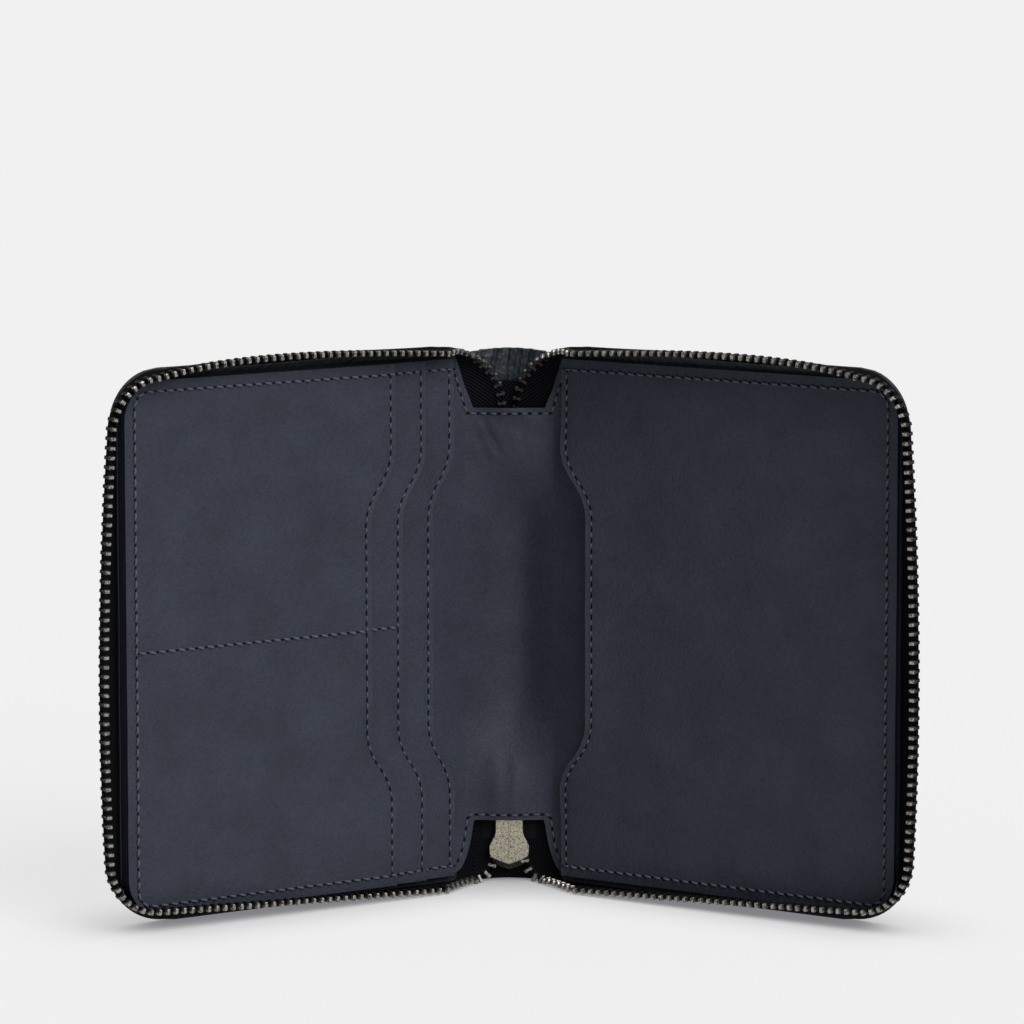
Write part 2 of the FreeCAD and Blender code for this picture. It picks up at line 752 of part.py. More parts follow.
def make_slider():
    """Two plates, the wedge between them and the rails that hold the tape."""
    body = new_body("zip_slider_body")
    plate, gap = size("slider_plate"), size("slider_gap")
    tip, narrow, rail = size("slider_tip"), size("slider_neck"), size("slider_rail")
    front = CHAIN_MID - gap * 0.5 - plate
    slider_pad(body, "near_plate", front, plate, slider_outline())
    neck = size("neck_half")
    wedge = [(as_size(0.0), tip + 1.6), (neck, tip + 3.8), (as_size(0.0), tip + 6.2),
             (neck * -1, tip + 3.8)]
    slider_pad(body, "wedge", front + plate * 0.5, gap + plate, wedge)
    slider_pad(body, "far_plate", front + plate + gap, plate, slider_outline())
    low, high = tip + 8.0, tip + size("slider_length") - 2.0
    depth_of_rail = (gap - size("slider_slot")) * 0.5
    levels = (front + plate * 0.5, CHAIN_MID + size("slider_slot") * 0.5)
    for level_name, level in zip(("near", "far"), levels):
        for side_name, inner, outer in (("left", narrow * -1, (narrow - rail) * -1),
                                        ("right", narrow - rail, narrow)):
            corners = [(inner, low), (outer, low), (outer, high), (inner, high)]
            slider_pad(body, f"{level_name}_rail_{side_name}", level,
                       depth_of_rail + plate * 0.5, corners)


def make_bail():
    """Bracket on the slider's outer plate, with the bar that carries the pull."""
    depth, height = size("fold_depth") + size("bail_bar_depth"), size("bail_bar_height")
    radius, half, post = size("bail_bar_radius"), size("bail_half"), size("bail_post")
    face = CHAIN_MID + size("slider_gap") * 0.5 + size("slider_plate")
    members = [bound_bar("bail_bar", radius, depth, height, half)]
    for name, low, high in (("left", half * -1, (half - post) * -1), ("right", half - post, half)):
        members.append(bound_box(f"bail_post_{name}", (low, face, height - 1.4),
                                 (high, depth + radius, height + 1.4)))
    fused("zip_slider_bail", members)


def make_pull():
    """Pull: a rolled eye on the bail's bar and a flat blade lying up the spine."""
    depth, height = size("fold_depth") + size("bail_bar_depth"), size("bail_bar_height")
    eye = bound_bar("pull_eye", size("pull_eye_radius"), depth, height, size("pull_eye_half"))
    bore = bound_bar("pull_bore", size("bail_bar_radius") + size("pull_clearance"), depth, height,
                     size("pull_half"))
    half_thick = size("pull_thick") * 0.5
    root = height + size("pull_eye_radius") - 0.3
    shank = bound_box("pull_shank", (size("pull_eye_half") * -1, depth - half_thick, root),
                      (size("pull_eye_half"), depth + half_thick, root + 2.6))
    blade = bound_box("pull_blade", (size("pull_half") * -1, depth - half_thick, root + 2.2),
                      (size("pull_half"), depth + half_thick, height + size("pull_length")))
    solid = doc.addObject("Part::MultiFuse", "pull_solid")
    solid.Shapes = [eye, shank, blade]
    pull = doc.addObject("Part::Cut", "zip_pull")
    pull.Label = "zip_pull"
    pull.Base = solid
    pull.Tool = bore
    subparts.append(pull)


# ---------------------------------------------------------------- writing

def build():
    for name, side in SIDES:
        make_cover_half(name, side)
        make_stiffener(name, side)
        make_liner_half(name, side)
        make_zip_tape(name, side)
        make_zip_teeth(name, side)
        make_gusset(name, side)
        make_bend_teeth(name, side)
    make_cover_spine()
    make_liner_spine()
    make_pockets()
    make_joined_teeth()
    make_end_tapes()
    make_stops()
    make_slider()
    make_bail()
    make_pull()


def write_parts():
    doc.recompute()
    for item in doc.Objects:
        if {"Invalid", "Error"} & set(item.State):
            raise RuntimeError(f"{item.Label} failed: {item.State}")
    os.makedirs("parts", exist_ok=True)
    whole = FreeCAD.BoundBox()
    for item in subparts:
        if item.Shape.isNull() or not item.Shape.isValid():
            raise RuntimeError(f"{item.Label} has no valid shape")
        item.Shape.exportStep(f"parts/{item.Label}.step")
        whole.add(item.Shape.BoundBox)
        box = item.Shape.BoundBox
        print(f"{item.Label:24s} {len(item.Shape.Solids):4d} solids {item.Shape.Volume:10.1f} mm3 "
              f"x {box.XMin:7.1f} {box.XMax:7.1f} y {box.YMin:7.1f} {box.YMax:7.1f} "
              f"z {box.ZMin:7.1f} {box.ZMax:7.1f}")
    print(f"whole part {whole}")


build()
write_parts()
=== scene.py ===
import json
import math

import bmesh
import bpy
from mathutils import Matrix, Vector, noise


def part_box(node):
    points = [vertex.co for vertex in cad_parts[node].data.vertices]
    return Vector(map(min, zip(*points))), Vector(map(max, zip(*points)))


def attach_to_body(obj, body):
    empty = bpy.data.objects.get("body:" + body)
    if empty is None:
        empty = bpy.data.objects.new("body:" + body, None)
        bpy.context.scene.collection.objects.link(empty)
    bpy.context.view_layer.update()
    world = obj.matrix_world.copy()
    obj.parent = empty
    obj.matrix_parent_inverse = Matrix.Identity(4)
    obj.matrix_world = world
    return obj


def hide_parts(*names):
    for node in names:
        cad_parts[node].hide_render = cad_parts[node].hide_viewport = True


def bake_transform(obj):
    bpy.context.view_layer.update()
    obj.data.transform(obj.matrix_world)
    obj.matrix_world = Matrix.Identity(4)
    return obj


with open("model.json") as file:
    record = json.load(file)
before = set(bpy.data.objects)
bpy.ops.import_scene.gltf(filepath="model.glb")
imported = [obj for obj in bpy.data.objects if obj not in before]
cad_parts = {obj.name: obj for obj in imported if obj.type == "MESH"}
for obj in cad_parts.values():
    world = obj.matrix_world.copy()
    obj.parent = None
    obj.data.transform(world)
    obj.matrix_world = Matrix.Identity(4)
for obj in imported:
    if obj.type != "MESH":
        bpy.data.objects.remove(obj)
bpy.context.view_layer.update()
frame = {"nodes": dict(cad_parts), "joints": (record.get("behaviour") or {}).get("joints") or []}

bl_info = {
    "name": "Zip-around passport wallet",
    "version": (1, 0, 0),
    "blender": (4, 5, 0),
    "location": "View3D > Sidebar > Wallet",
    "description": "Builds the leather, zip, pockets and stitching of a passport wallet",
    "category": "Add Mesh",
}

# ------------------------------------------------------------------ frame

MM = 0.001
LEFT, RIGHT = -1, 1
SIDES = (("left", LEFT), ("right", RIGHT))
JOINTS = {joint["name"]: joint for joint in frame["joints"]}
OPEN_ANGLE = math.radians(-JOINTS["right_fold"]["range_deg"][0])
FOLD = Vector(JOINTS["right_fold"]["pos_m"]) / MM
COVER_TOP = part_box("outer_cover_left")[1].z / MM
MID_HEIGHT = COVER_TOP / 2
CHAIN_DEPTH = FOLD.y + 0.4
LEATHER = 1.4
COVER_FAR = 101.4
COVER_RADIUS = 13.5
COVER_FOOT_RADIUS = 16.5
LINER_FAR = 100.9
LINER_RADIUS = 10.0
LINER_FOOT = 2.3
LINER_FRONT = 3.0
NOTCH_HEIGHT = 14.0
SPINE_BULGE = 6.5
HEM_DROP = 1.1
HEM_ARCH = 0.8
CHAIN_NEAR = 9.9
CHAIN_START = 12.0
TOOTH_PITCH = 2.3
STITCH_PITCH = 2.75
EDGE_SEAM = 1.5
NOTCH_HALF = 8.5
TROUGH_HALF = 10.4
TROUGH_DEEP = 4.8
TROUGH_SHALLOW = -2.9
TROUGH_JOIN = 1.2
TROUGH_SHIFT = 1.9
BEND = 26
BEND_TOOTH = 0.72
CHAIN_END = 9.6
GUSSET_HALF = 9.4
POCKET_INSET = 0.25
PANEL_SEAM = 2.9
COVER_SEAM = 5.3
FLOOR_SIZE = 14.0
# The floor glows; near the wallet its glow is darkened into a painted contact shadow that reaches
# FLOOR_SHADOW_REACH metres.
FLOOR_GLOW = 0.727
FLOOR_SHADOW_REACH = 0.03
KEY_DIRECTION = (-0.48, 0.61, -0.63)
KEY_SOFTNESS = math.radians(45)
# Name, free edge, depth of its scoop, and the depths of its back and its face.
POCKETS = {
    LEFT: (("rear", 5.2, 6.4, 3.0, 4.2), ("middle", 14.3, 7.0, 4.2, 5.4),
           ("front", 23.9, 7.2, 5.4, 6.6)),
    RIGHT: (("passport", 4.6, 8.3, 3.0, 4.4),),
}


def in_half(side, across, depth, height):
    """A half's own coordinates in millimetres, as a point of the part in metres."""
    rise = depth - LEATHER / 2
    cos, sin = math.cos(OPEN_ANGLE), math.sin(OPEN_ANGLE)
    x = side * (FOLD.x + across * cos - rise * sin)
    y = FOLD.y - across * sin - rise * cos
    return Vector((x, y, height)) * MM


def half_normal(side):
    return Vector((-side * math.sin(OPEN_ANGLE), -math.cos(OPEN_ANGLE), 0))


# ------------------------------------------------------------------ meshes

def clamp(value, low=0.0, high=1.0):
    return max(low, min(high, value))


def smooth(value, low=0.0, high=1.0):
    t = clamp((value - low) / (high - low))
    return t * t * (3 - 2 * t)


def spread(low, high, count, ends=0.0):
    """Values from low to high, closer together at both ends where asked."""
    values = []
    for index in range(count + 1):
        t = index / count
        eased = (1 - math.cos(math.pi * t)) / 2
        values.append(low + (high - low) * (t * (1 - ends) + eased * ends))
    return values


def steps_along(line, unit=1.0):
    """Distance of each point of a line from its start."""
    lengths = [0.0]
    for start, end in zip(line, line[1:]):
        lengths.append(lengths[-1] + (end - start).length / unit)
    return lengths


def length_mm(line):
    return sum((b - a).length for a, b in zip(line, line[1:])) / MM


def add_object(name, verts, faces, material, uvs=None, sharp=50.0):
    mesh = bpy.data.meshes.new(name)
    mesh.from_pydata(verts, [], faces)
    if uvs:
        layer = mesh.uv_layers.new(name="UVMap")
        for loop in mesh.loops:
            layer.data[loop.index].uv = uvs[loop.vertex_index]
    tidy = bmesh.new()
    tidy.from_mesh(mesh)
    bmesh.ops.recalc_face_normals(tidy, faces=tidy.faces)
    tidy.to_mesh(mesh)
    tidy.free()
    mesh.polygons.foreach_set("use_smooth", [True] * len(mesh.polygons))
    mesh.set_sharp_from_angle(angle=math.radians(sharp))
    mesh.materials.append(material)
    piece = bpy.data.objects.new(name, mesh)
    bpy.context.scene.collection.objects.link(piece)
    return piece


def apply_modifiers(piece):
    bpy.context.view_layer.update()
    evaluated = piece.evaluated_get(bpy.context.evaluated_depsgraph_get())
    baked = bpy.data.meshes.new_from_object(evaluated)
    piece.modifiers.clear()
    piece.data = baked


def round_edges(piece, width, segments=3, angle=50.0):
    bevel = piece.modifiers.new("rounded", "BEVEL")
    bevel.width = width * MM
    bevel.segments = segments
    bevel.limit_method = "ANGLE"
    bevel.angle_limit = math.radians(angle)
    bevel.harden_normals = False
    apply_modifiers(piece)
    piece.data.polygons.foreach_set("use_smooth", [True] * len(piece.data.polygons))


def grid_faces(rows, columns, offset=0, close=False):
    faces = []
    for row in range(rows - 1):
        for column in range(columns if close else columns - 1):
            after = (column + 1) % columns
            low, high = offset + row * columns, offset + (row + 1) * columns
            faces.append((low + column, low + after, high + after, high + column))
    return faces


def capped_tube(rings, sides, first=0):
    """Faces of a tube of rings, with both its ends closed."""
    last = first + (rings - 1) * sides
    return grid_faces(rings, sides, first, close=True) + [
        tuple(range(first, first + sides)), tuple(range(last, last + sides))]


def sheet_piece(name, front, back, uvs, material, edge=0.35, joined=False):
    """A sheet of leather from two grids of points, closed round its edges.

    A joined sheet stays open at its first column, where its other half carries on.
    """
    rows, columns = len(front), len(front[0])
    verts = [p for row in front for p in row] + [p for row in back for p in row]
    size = rows * columns
    faces = grid_faces(rows, columns) + grid_faces(rows, columns, size)
    rim = list(range(columns))
    rim += [row * columns + columns - 1 for row in range(1, rows)]
    rim += [(rows - 1) * columns + column for column in range(columns - 2, -1, -1)]
    rim += [row * columns for row in range(rows - 2, 0, -1)]
    for index, vertex in enumerate(rim):
        after = rim[(index + 1) % len(rim)]
        if joined and vertex % columns == 0 and after % columns == 0:
            continue
        faces.append((vertex, after, after + size, vertex + size))
    flat = [uv for row in uvs for uv in row]
    piece = add_object(name, verts, faces, material, flat + flat)
    round_edges(piece, edge)
    return piece


def shaped_sheet(name, rows, columns, place, material, edge, joined=False):
    """A sheet whose place gives the front point, back point and UV of each row and column."""
    grid = [[place(row, column) for column in columns] for row in rows]
    front, back, uvs = ([[cell[part] for cell in line] for line in grid] for part in range(3))
    return sheet_piece(name, front, back, uvs, material, edge, joined)


def corner_far(far, radius, low, high, height):
    """How far a panel with round corners reaches at a height."""
    rise = min(height - low, high - height)
    if rise >= radius:
        return far
    return far - radius + math.sqrt(max(radius ** 2 - (radius - max(rise, 0)) ** 2, 0))


def scoop(height, end, depth):
    """Free edge of a pocket: straight at its ends, set back in the middle."""
    rise = min(height, COVER_TOP - height)
    t = clamp((rise - 24.0) / 18.5)
    if t < 0.5:
        return end + depth * 2 * t * t
    return end + depth * (1 - 2 * (1 - t) ** 2)


def catmull(points, count):
    """Evenly spaced points on a smooth curve through the given ones."""
    points = [Vector(p) for p in points]
    padded = [2 * points[0] - points[1]] + points + [2 * points[-1] - points[-2]]
    fine = []
    for index in range(1, len(padded) - 2):
        before, start, end, after = padded[index - 1:index + 3]
        for step in range(24):
            t = step / 24
            fine.append(0.5 * (2 * start + (end - before) * t
                               + (2 * before - 5 * start + 4 * end - after) * t ** 2
                               + (3 * start - before - 3 * end + after) * t ** 3))
    fine.append(points[-1])
    return resample(fine, count)


def resample(line, count):
    lengths = steps_along(line)
    result, at = [], 0
    for index in range(count + 1):
        goal = lengths[-1] * index / count
        while at < len(line) - 2 and lengths[at + 1] < goal:
            at += 1
        gap = lengths[at + 1] - lengths[at]
        t = 0.0 if gap < 1e-9 else (goal - lengths[at]) / gap
        result.append(line[at].lerp(line[at + 1], clamp(t)))
    return result


# ------------------------------------------------------------------ materials

def new_material(name):
    material = bpy.data.materials.new(name)
    material.use_nodes = True
    nodes = material.node_tree.nodes
    return material, nodes, material.node_tree.links, nodes["Principled BSDF"]


def add_node(nodes, kind, **values):
    node = nodes.new(kind)
    for key, value in values.items():
        if hasattr(node, key):
            setattr(node, key, value)
        else:
            node.inputs[key].default_value = value
    return node


def texture(nodes, links, vector, kind, **values):
    node = add_node(nodes, f"ShaderNodeTex{kind}", **values)
    links.new(vector, node.inputs["Vector"])
    return node


def scaled_coords(nodes, links, source, scale):
    coords = nodes.new("ShaderNodeTexCoord")
    mapping = nodes.new("ShaderNodeMapping")
    mapping.inputs["Scale"].default_value = scale if hasattr(scale, "__len__") else (scale,) * 3
    links.new(coords.outputs[source], mapping.inputs["Vector"])
    return mapping.outputs["Vector"]


def ramp(nodes, links, source, stops):
    node = nodes.new("ShaderNodeValToRGB")
    elements = node.color_ramp.elements
    while len(elements) < len(stops):
        elements.new(0.5)
    for element, (position, colour) in zip(elements, stops):
        element.position = position
        element.color = (*colour, 1.0) if len(colour) == 3 else colour
    links.new(source, node.inputs["Fac"])
    return node.outputs["Color"]


def multiply(nodes, links, first, second):
    """Two colours multiplied."""
    mix = nodes.new("ShaderNodeMix")
    mix.data_type = "RGBA"
    mix.blend_type = "MULTIPLY"
    sockets = {s.name: s for s in mix.inputs if s.type == "RGBA"}
    factor = next(s for s in mix.inputs if s.name == "Factor" and s.type == "VALUE")
    factor.default_value = 1.0
    links.new(first, sockets["A"])
    links.new(second, sockets["B"])
    return next(s for s in mix.outputs if s.type == "RGBA")


def grey(value):
    return (value, value, value)


def shade(colour, factor):
    return tuple(clamp(channel * factor) for channel in colour[:3])


def bump_chain(nodes, links, shader, layers):
    """Stack of height textures: (height socket, strength, distance in millimetres)."""
    previous = None
    for height, strength, distance in layers:
        bump = nodes.new("ShaderNodeBump")
        bump.inputs["Strength"].default_value = strength
        bump.inputs["Distance"].default_value = distance * MM
        links.new(height, bump.inputs["Height"])
        if previous:
            links.new(previous, bump.inputs["Normal"])
        previous = bump.outputs["Normal"]
    links.new(previous, shader.inputs["Normal"])


def leather_material(name, colour, grain, grain_depth, roughness, gloss=0.12, source="UV",
                     per_mm=1.0):
    """Leather: rounded grain cells with painted shade in their hollows, soft wrinkles and slightly
    uneven dye.
    """
    material, nodes, links, shader = new_material(name)
    vector = scaled_coords(nodes, links, source, per_mm)
    cells = texture(nodes, links, vector, "Voronoi", feature="SMOOTH_F1", Scale=1.0 / grain,
                    Smoothness=0.6, Randomness=0.9)
    fine = texture(nodes, links, vector, "Noise", Scale=3.2 / grain, Detail=3.0)
    broad = texture(nodes, links, vector, "Noise", Scale=0.07, Detail=4.0, Roughness=0.6)
    colours = ramp(nodes, links, broad.outputs["Fac"],
                   [(0.30, shade(colour, 0.86)), (0.70, shade(colour, 1.14))])
    # Painted shade: the colour gets darker towards the edges of each grain cell, where the bump
    # sinks.
    grain_hollow_shade = ramp(nodes, links, cells.outputs["Distance"],
                   [(0.15, grey(1.0)), (0.75, grey(0.80))])
    mottle = ramp(nodes, links, fine.outputs["Fac"], [(0.3, grey(0.70)), (0.7, grey(1.06))])
    grained = multiply(nodes, links, grain_hollow_shade, mottle)
    links.new(multiply(nodes, links, colours, grained), shader.inputs["Base Color"])
    rough = ramp(nodes, links, fine.outputs["Fac"],
                 [(0.3, grey(roughness - 0.05)), (0.7, grey(roughness + 0.07))])
    links.new(rough, shader.inputs["Roughness"])
    shader.inputs["Specular IOR Level"].default_value = gloss
    bump_chain(nodes, links, shader, [(broad.outputs["Fac"], 0.35, 0.9),
                                      (cells.outputs["Distance"], 0.55, -grain_depth),
                                      (fine.outputs["Fac"], 0.4, grain_depth * 0.5)])
    return material


def tape_material(name, colour):
    """Twill tape: fine ribs along the tape with a slanting weave."""
    material, nodes, links, shader = new_material(name)
    vector = scaled_coords(nodes, links, "UV", 1.0)
    ribs = texture(nodes, links, vector, "Wave", wave_type="BANDS", bands_direction="Y",
                   Scale=0.55, Distortion=0.15, Detail=1.0)
    weave = texture(nodes, links, vector, "Wave", wave_type="BANDS", bands_direction="DIAGONAL",
                    Scale=0.62, Distortion=0.3, Detail=1.0)
    fuzz = texture(nodes, links, vector, "Noise", Scale=2.4, Detail=4.0)
    colours = ramp(nodes, links, weave.outputs["Fac"],
                   [(0.2, shade(colour, 0.3)), (0.8, shade(colour, 1.8))])
    links.new(colours, shader.inputs["Base Color"])
    shader.inputs["Roughness"].default_value = 0.85
    shader.inputs["Specular IOR Level"].default_value = 0.03
    bump_chain(nodes, links, shader, [(ribs.outputs["Fac"], 0.7, 0.18),
                                      (weave.outputs["Fac"], 0.7, 0.12),
                                      (fuzz.outputs["Fac"], 0.4, 0.06)])
    return material


def metal_material(name, colour, dark, roughness, speckle):
    """Aged zip metal: bright rubbed faces with dark patina in spots."""
    material, nodes, links, shader = new_material(name)
    vector = scaled_coords(nodes, links, "Object", 1.0 / MM)
    spots = texture(nodes, links, vector, "Noise", Scale=speckle, Detail=6.0, Roughness=0.65)
    scratches = texture(nodes, links, vector, "Noise", Scale=speckle * 3, Detail=3.0)
    colours = ramp(nodes, links, spots.outputs["Fac"],
                   [(0.38, dark), (0.49, shade(colour, 0.75)), (0.62, colour)])
    links.new(colours, shader.inputs["Base Color"])
    rough = ramp(nodes, links, spots.outputs["Fac"],
                 [(0.3, grey(roughness + 0.2)), (0.7, grey(roughness))])
    links.new(rough, shader.inputs["Roughness"])
    shader.inputs["Metallic"].default_value = 1.0
    bump_chain(nodes, links, shader, [(spots.outputs["Fac"], 0.5, 0.08),
                                      (scratches.outputs["Fac"], 0.3, 0.03)])
    return material


def thread_material(name, colour):
    material, nodes, links, shader = new_material(name)
    vector = scaled_coords(nodes, links, "Object", 1.0 / MM)
    twist = texture(nodes, links, vector, "Wave", wave_type="BANDS", bands_direction="DIAGONAL",
                    Scale=1.3, Distortion=0.6)
    fuzz = texture(nodes, links, vector, "Noise", Scale=5.0, Detail=2.0)
    colours = ramp(nodes, links, twist.outputs["Fac"],
                   [(0.1, shade(colour, 0.7)), (0.9, shade(colour, 1.2))])
    links.new(colours, shader.inputs["Base Color"])
    shader.inputs["Roughness"].default_value = 0.7
    bump_chain(nodes, links, shader, [(twist.outputs["Fac"], 0.6, 0.06),
                                      (fuzz.outputs["Fac"], 0.3, 0.03)])
    return material


def hole_shadow_material():
    # Needle holes are flat near-black ovals, a painted shadow of each hole.
    material, nodes, links, shader = new_material("needle_hole_shadow")
    vector = scaled_coords(nodes, links, "Object", 1.0 / MM)
    spots = texture(nodes, links, vector, "Noise", Scale=4.0, Detail=2.0)
    shadows = ramp(nodes, links, spots.outputs["Fac"],
                   [(0.3, (0.002, 0.0022, 0.003)), (0.7, (0.005, 0.0055, 0.008))])
    links.new(shadows, shader.inputs["Base Color"])
    shader.inputs["Roughness"].default_value = 0.9
    shader.inputs["Specular IOR Level"].default_value = 0.1
    return material


def floor_material(colour):
    material, nodes, links, shader = new_material("studio_floor")
    vector = scaled_coords(nodes, links, "Object", 3.0)
    cloud = texture(nodes, links, vector, "Noise", Scale=2.0, Detail=2.0)
    links.new(ramp(nodes, links, cloud.outputs["Fac"],
                   [(0.0, shade(colour, 0.995)), (1.0, colour)]), shader.inputs["Base Color"])
    # The floor glows evenly; this ambient-occlusion node darkens its glow close to the wallet, a
    # painted contact shadow.
    near = add_node(nodes, "ShaderNodeAmbientOcclusion", samples=8,
                    Distance=FLOOR_SHADOW_REACH)
    glow_with_painted_shadow = ramp(nodes, links, near.outputs["AO"],
                [(0.15, (0.30, 0.30, 0.32)), (0.95, grey(1.0))])
    links.new(glow_with_painted_shadow, shader.inputs["Emission Color"])
    shader.inputs["Emission Strength"].default_value = FLOOR_GLOW
    shader.inputs["Roughness"].default_value = 0.9
    shader.inputs["Specular IOR Level"].default_value = 0.05
    return material


# ------------------------------------------------------------------ cover and lining sections

def smooth_section(corner_line, passes, first, last):
    """Round the kinks of a cross-section between two stations."""
    line = [Vector(p) for p in corner_line]
    for _ in range(passes):
        moved = list(line)
        for index in range(max(first, 1), min(last, len(line) - 1)):
            moved[index] = (line[index - 1] + 2 * line[index] + line[index + 1]) / 4
        line = moved
    return line


STATION = 0.5
ARC_RADIUS = (FOLD.x ** 2 + SPINE_BULGE ** 2) / (2 * SPINE_BULGE)
ARC_LENGTH = ARC_RADIUS * math.asin(FOLD.x / ARC_RADIUS)


def cover_section():
    """Middle of the cover leather seen from above, from the spine's centre outwards."""
    centre = FOLD.y + SPINE_BULGE - ARC_RADIUS
    cos, sin = math.cos(OPEN_ANGLE), math.sin(OPEN_ANGLE)
    line = []
    count = round(ARC_LENGTH / STATION)
    for index in range(count):
        angle = ARC_LENGTH * index / count / ARC_RADIUS
        line.append((ARC_RADIUS * math.sin(angle), centre + ARC_RADIUS * math.cos(angle)))
    steps = round(COVER_FAR / STATION)
    for index in range(steps + 1):
        across = COVER_FAR * index / steps
        line.append((FOLD.x + across * cos, FOLD.y - across * sin))
    return smooth_section(line, 60, 1, count + 24), count, steps


def section_frames(line):
    """Each station of a section with its inward normal."""
    frames = []
    for index, point in enumerate(line):
        before, after = line[max(index - 1, 0)], line[min(index + 1, len(line) - 1)]
        along = (after - before).normalized()
        if index == 0:
            along = Vector((1, 0))
        frames.append((point, Vector((along.y, -along.x))))
    return frames


def hem_folds(side, x, height):
    """Wrinkles of the spine's cover, strongest at its top hem."""
    top = COVER_TOP - height
    wave = side * x + 0.6 * math.sin(height * 0.35)
    folds = (math.sin(wave * 2.1 + 0.6) * 0.55 + math.sin(wave * 3.7) * 0.4) * math.exp(-top / 8.0)
    folds += math.sin(wave * 1.9 + 1.0) * 0.15 * math.exp(-height / 9.0)
    lumps = noise.noise(Vector((side * x * 0.8, height * 0.45, 7.0)))
    return folds + 0.6 * lumps * math.exp(-top / 9.0)


def make_cover(name, side, material):
    line, count, steps = cover_section()
    frames = section_frames(line)
    outwards = frames[-1][0] - FOLD.xy

    def place(height, index):
        middle, inward = frames[index]
        x = middle.x
        radius = COVER_FOOT_RADIUS if height < MID_HEIGHT else COVER_RADIUS
        far = corner_far(COVER_FAR, radius, 0.0, COVER_TOP, height)
        across = (index - count) * COVER_FAR / steps
        if across > 0 and far < COVER_FAR:
            pulled = FOLD.xy + outwards * (across / COVER_FAR * far / COVER_FAR)
            middle = middle.lerp(pulled, smooth(across, 0.0, 12.0))
        on_spine = 1 - smooth(across, -4.0, 5.0)
        lift = 0.25 * noise.noise(Vector((side * x * 0.09, height * 0.05, 3.0)))
        shift = lift + hem_folds(side, x, height) * on_spine
        arch = HEM_DROP + HEM_ARCH * min(abs(x) / FOLD.x, 1.2) ** 2
        drop = arch * (1 - 0.9 * smooth(across, 1.0, 9.0))
        rise = height * (COVER_TOP - drop) / COVER_TOP
        faces = []
        for offset in (LEATHER / 2, -LEATHER / 2):
            at = middle + inward * (offset + shift * 0.6)
            faces.append(Vector((side * at.x, at.y, rise)) * MM)
        return (*faces, (side * (across + ARC_LENGTH), height))

    piece = shaped_sheet(f"cover_leather_{name}", spread(0.0, COVER_TOP, 110, 0.55),
                         range(len(frames)), place, material, 0.55, joined=True)
    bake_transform(piece)
    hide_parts(f"outer_cover_{name}", "outer_cover_spine")
    return piece


def deepening(height):
    """0 over the zip's hidden ends and 1 along the middle of the spine."""
    return smooth(min(height, COVER_TOP - height), 22.0, 50.0)


def liner_level(across, height):
    """Depth of the lining's face on a half: it sinks towards the fold."""
    sunk = 1.15 * (1 - smooth(across, -1.0, 10.0))
    raised = 0.25 * smooth(across, 5.0, 12.0) * (1 - smooth(across, 14.0, 18.0))
    return LINER_FRONT + (raised - sunk) * deepening(height)


def liner_point(side, station, height, lift):
    """Point of the lining: station 0 is the spine's middle, then outwards."""
    reach = station - TROUGH_HALF
    if reach >= 0:
        across = TROUGH_JOIN + reach
        return in_half(side, across, liner_level(across, height) + lift, height)
    deep = deepening(height)
    hollow = TROUGH_SHALLOW + (TROUGH_DEEP - TROUGH_SHALLOW) * deep
    step = 0.1
    end = in_half(1, TROUGH_JOIN, liner_level(TROUGH_JOIN, height) + lift, height) / MM
    after = in_half(1, TROUGH_JOIN + step, liner_level(TROUGH_JOIN + step, height) + lift,
                    height) / MM
    x = side * end.x * station / TROUGH_HALF
    lowest = TROUGH_SHIFT * deep
    run = end.x + lowest if x < lowest else end.x - lowest
    slope = (after.y - end.y) / (after.x - end.x) * run * (0.4 + 0.6 * deep)
    t = abs(x - lowest) / run
    rise = (hollow - lift) * (2 * t ** 3 - 3 * t ** 2 + 1)
    rise += (end.y - FOLD.y) * (3 * t ** 2 - 2 * t ** 3) + slope * (t ** 3 - t ** 2)
    return Vector((x, FOLD.y + rise, height)) * MM


def notch_depth(station, upper):
    """Height of a notch's edge from the lining's own end at a station."""
    reach = max(station - NOTCH_HALF, 0.0)
    if upper:
        return (NOTCH_HEIGHT - 0.9) * clamp((4.6 - reach) / 4.6) ** 0.95
    return NOTCH_HEIGHT * math.exp(-(reach / 1.55) ** 0.95) * clamp((14.0 - reach) / 4.0)


def liner_stations(far):
    near = spread(0.0, TROUGH_HALF + 3.4, 40)
    return near[:-1] + spread(TROUGH_HALF + 3.4, TROUGH_HALF + far - TROUGH_JOIN, 60)


# Upper end and lower end as (x, height), then depth and width.
CREASES = ((-7.0, 120.0, -2.2, 109.5, 0.5, 1.0), (-8.6, 119.0, -4.6, 107.0, 0.35, 1.1),
           (2.5, 119.5, 4.0, 110.0, 0.3, 1.2), (-3.4, 33.0, -3.0, 17.0, -0.5, 2.2),
           (1.6, 31.0, 1.4, 17.0, -0.45, 1.8))


def fold_line(x, height, x0, low, x1, high, depth, width):
    """Depth of a soft crease that runs between two points of the lining."""
    run_x, run_z = x1 - x0, high - low
    length = math.hypot(run_x, run_z)
    share = ((x - x0) * run_x + (height - low) * run_z) / length ** 2
    apart = abs((x - x0) * run_z - (height - low) * run_x) / length
    ends = smooth(share, -0.15, 0.2) * (1 - smooth(share, 0.8, 1.15))
    return depth * ends * math.exp(-(apart / width) ** 2)


def lining_relief(side, station, height):
    """Ripples and creases of the lining's face above its even level."""
    relief = 0.22 * noise.noise(Vector((side * station * 0.08, height * 0.06, 5.0)))
    near_spine = 1 - smooth(station - TROUGH_HALF, -6.0, 3.0)
    top = clamp((height - 104.0) / 20.0)
    relief += near_spine * top * 0.28 * math.sin(height * 0.95 + side * station * 0.4)
    relief += near_spine * 0.25 * math.exp(-((height - 24.0) / 5.0) ** 2)
    return relief - sum(fold_line(side * station, height, *fold) for fold in CREASES)


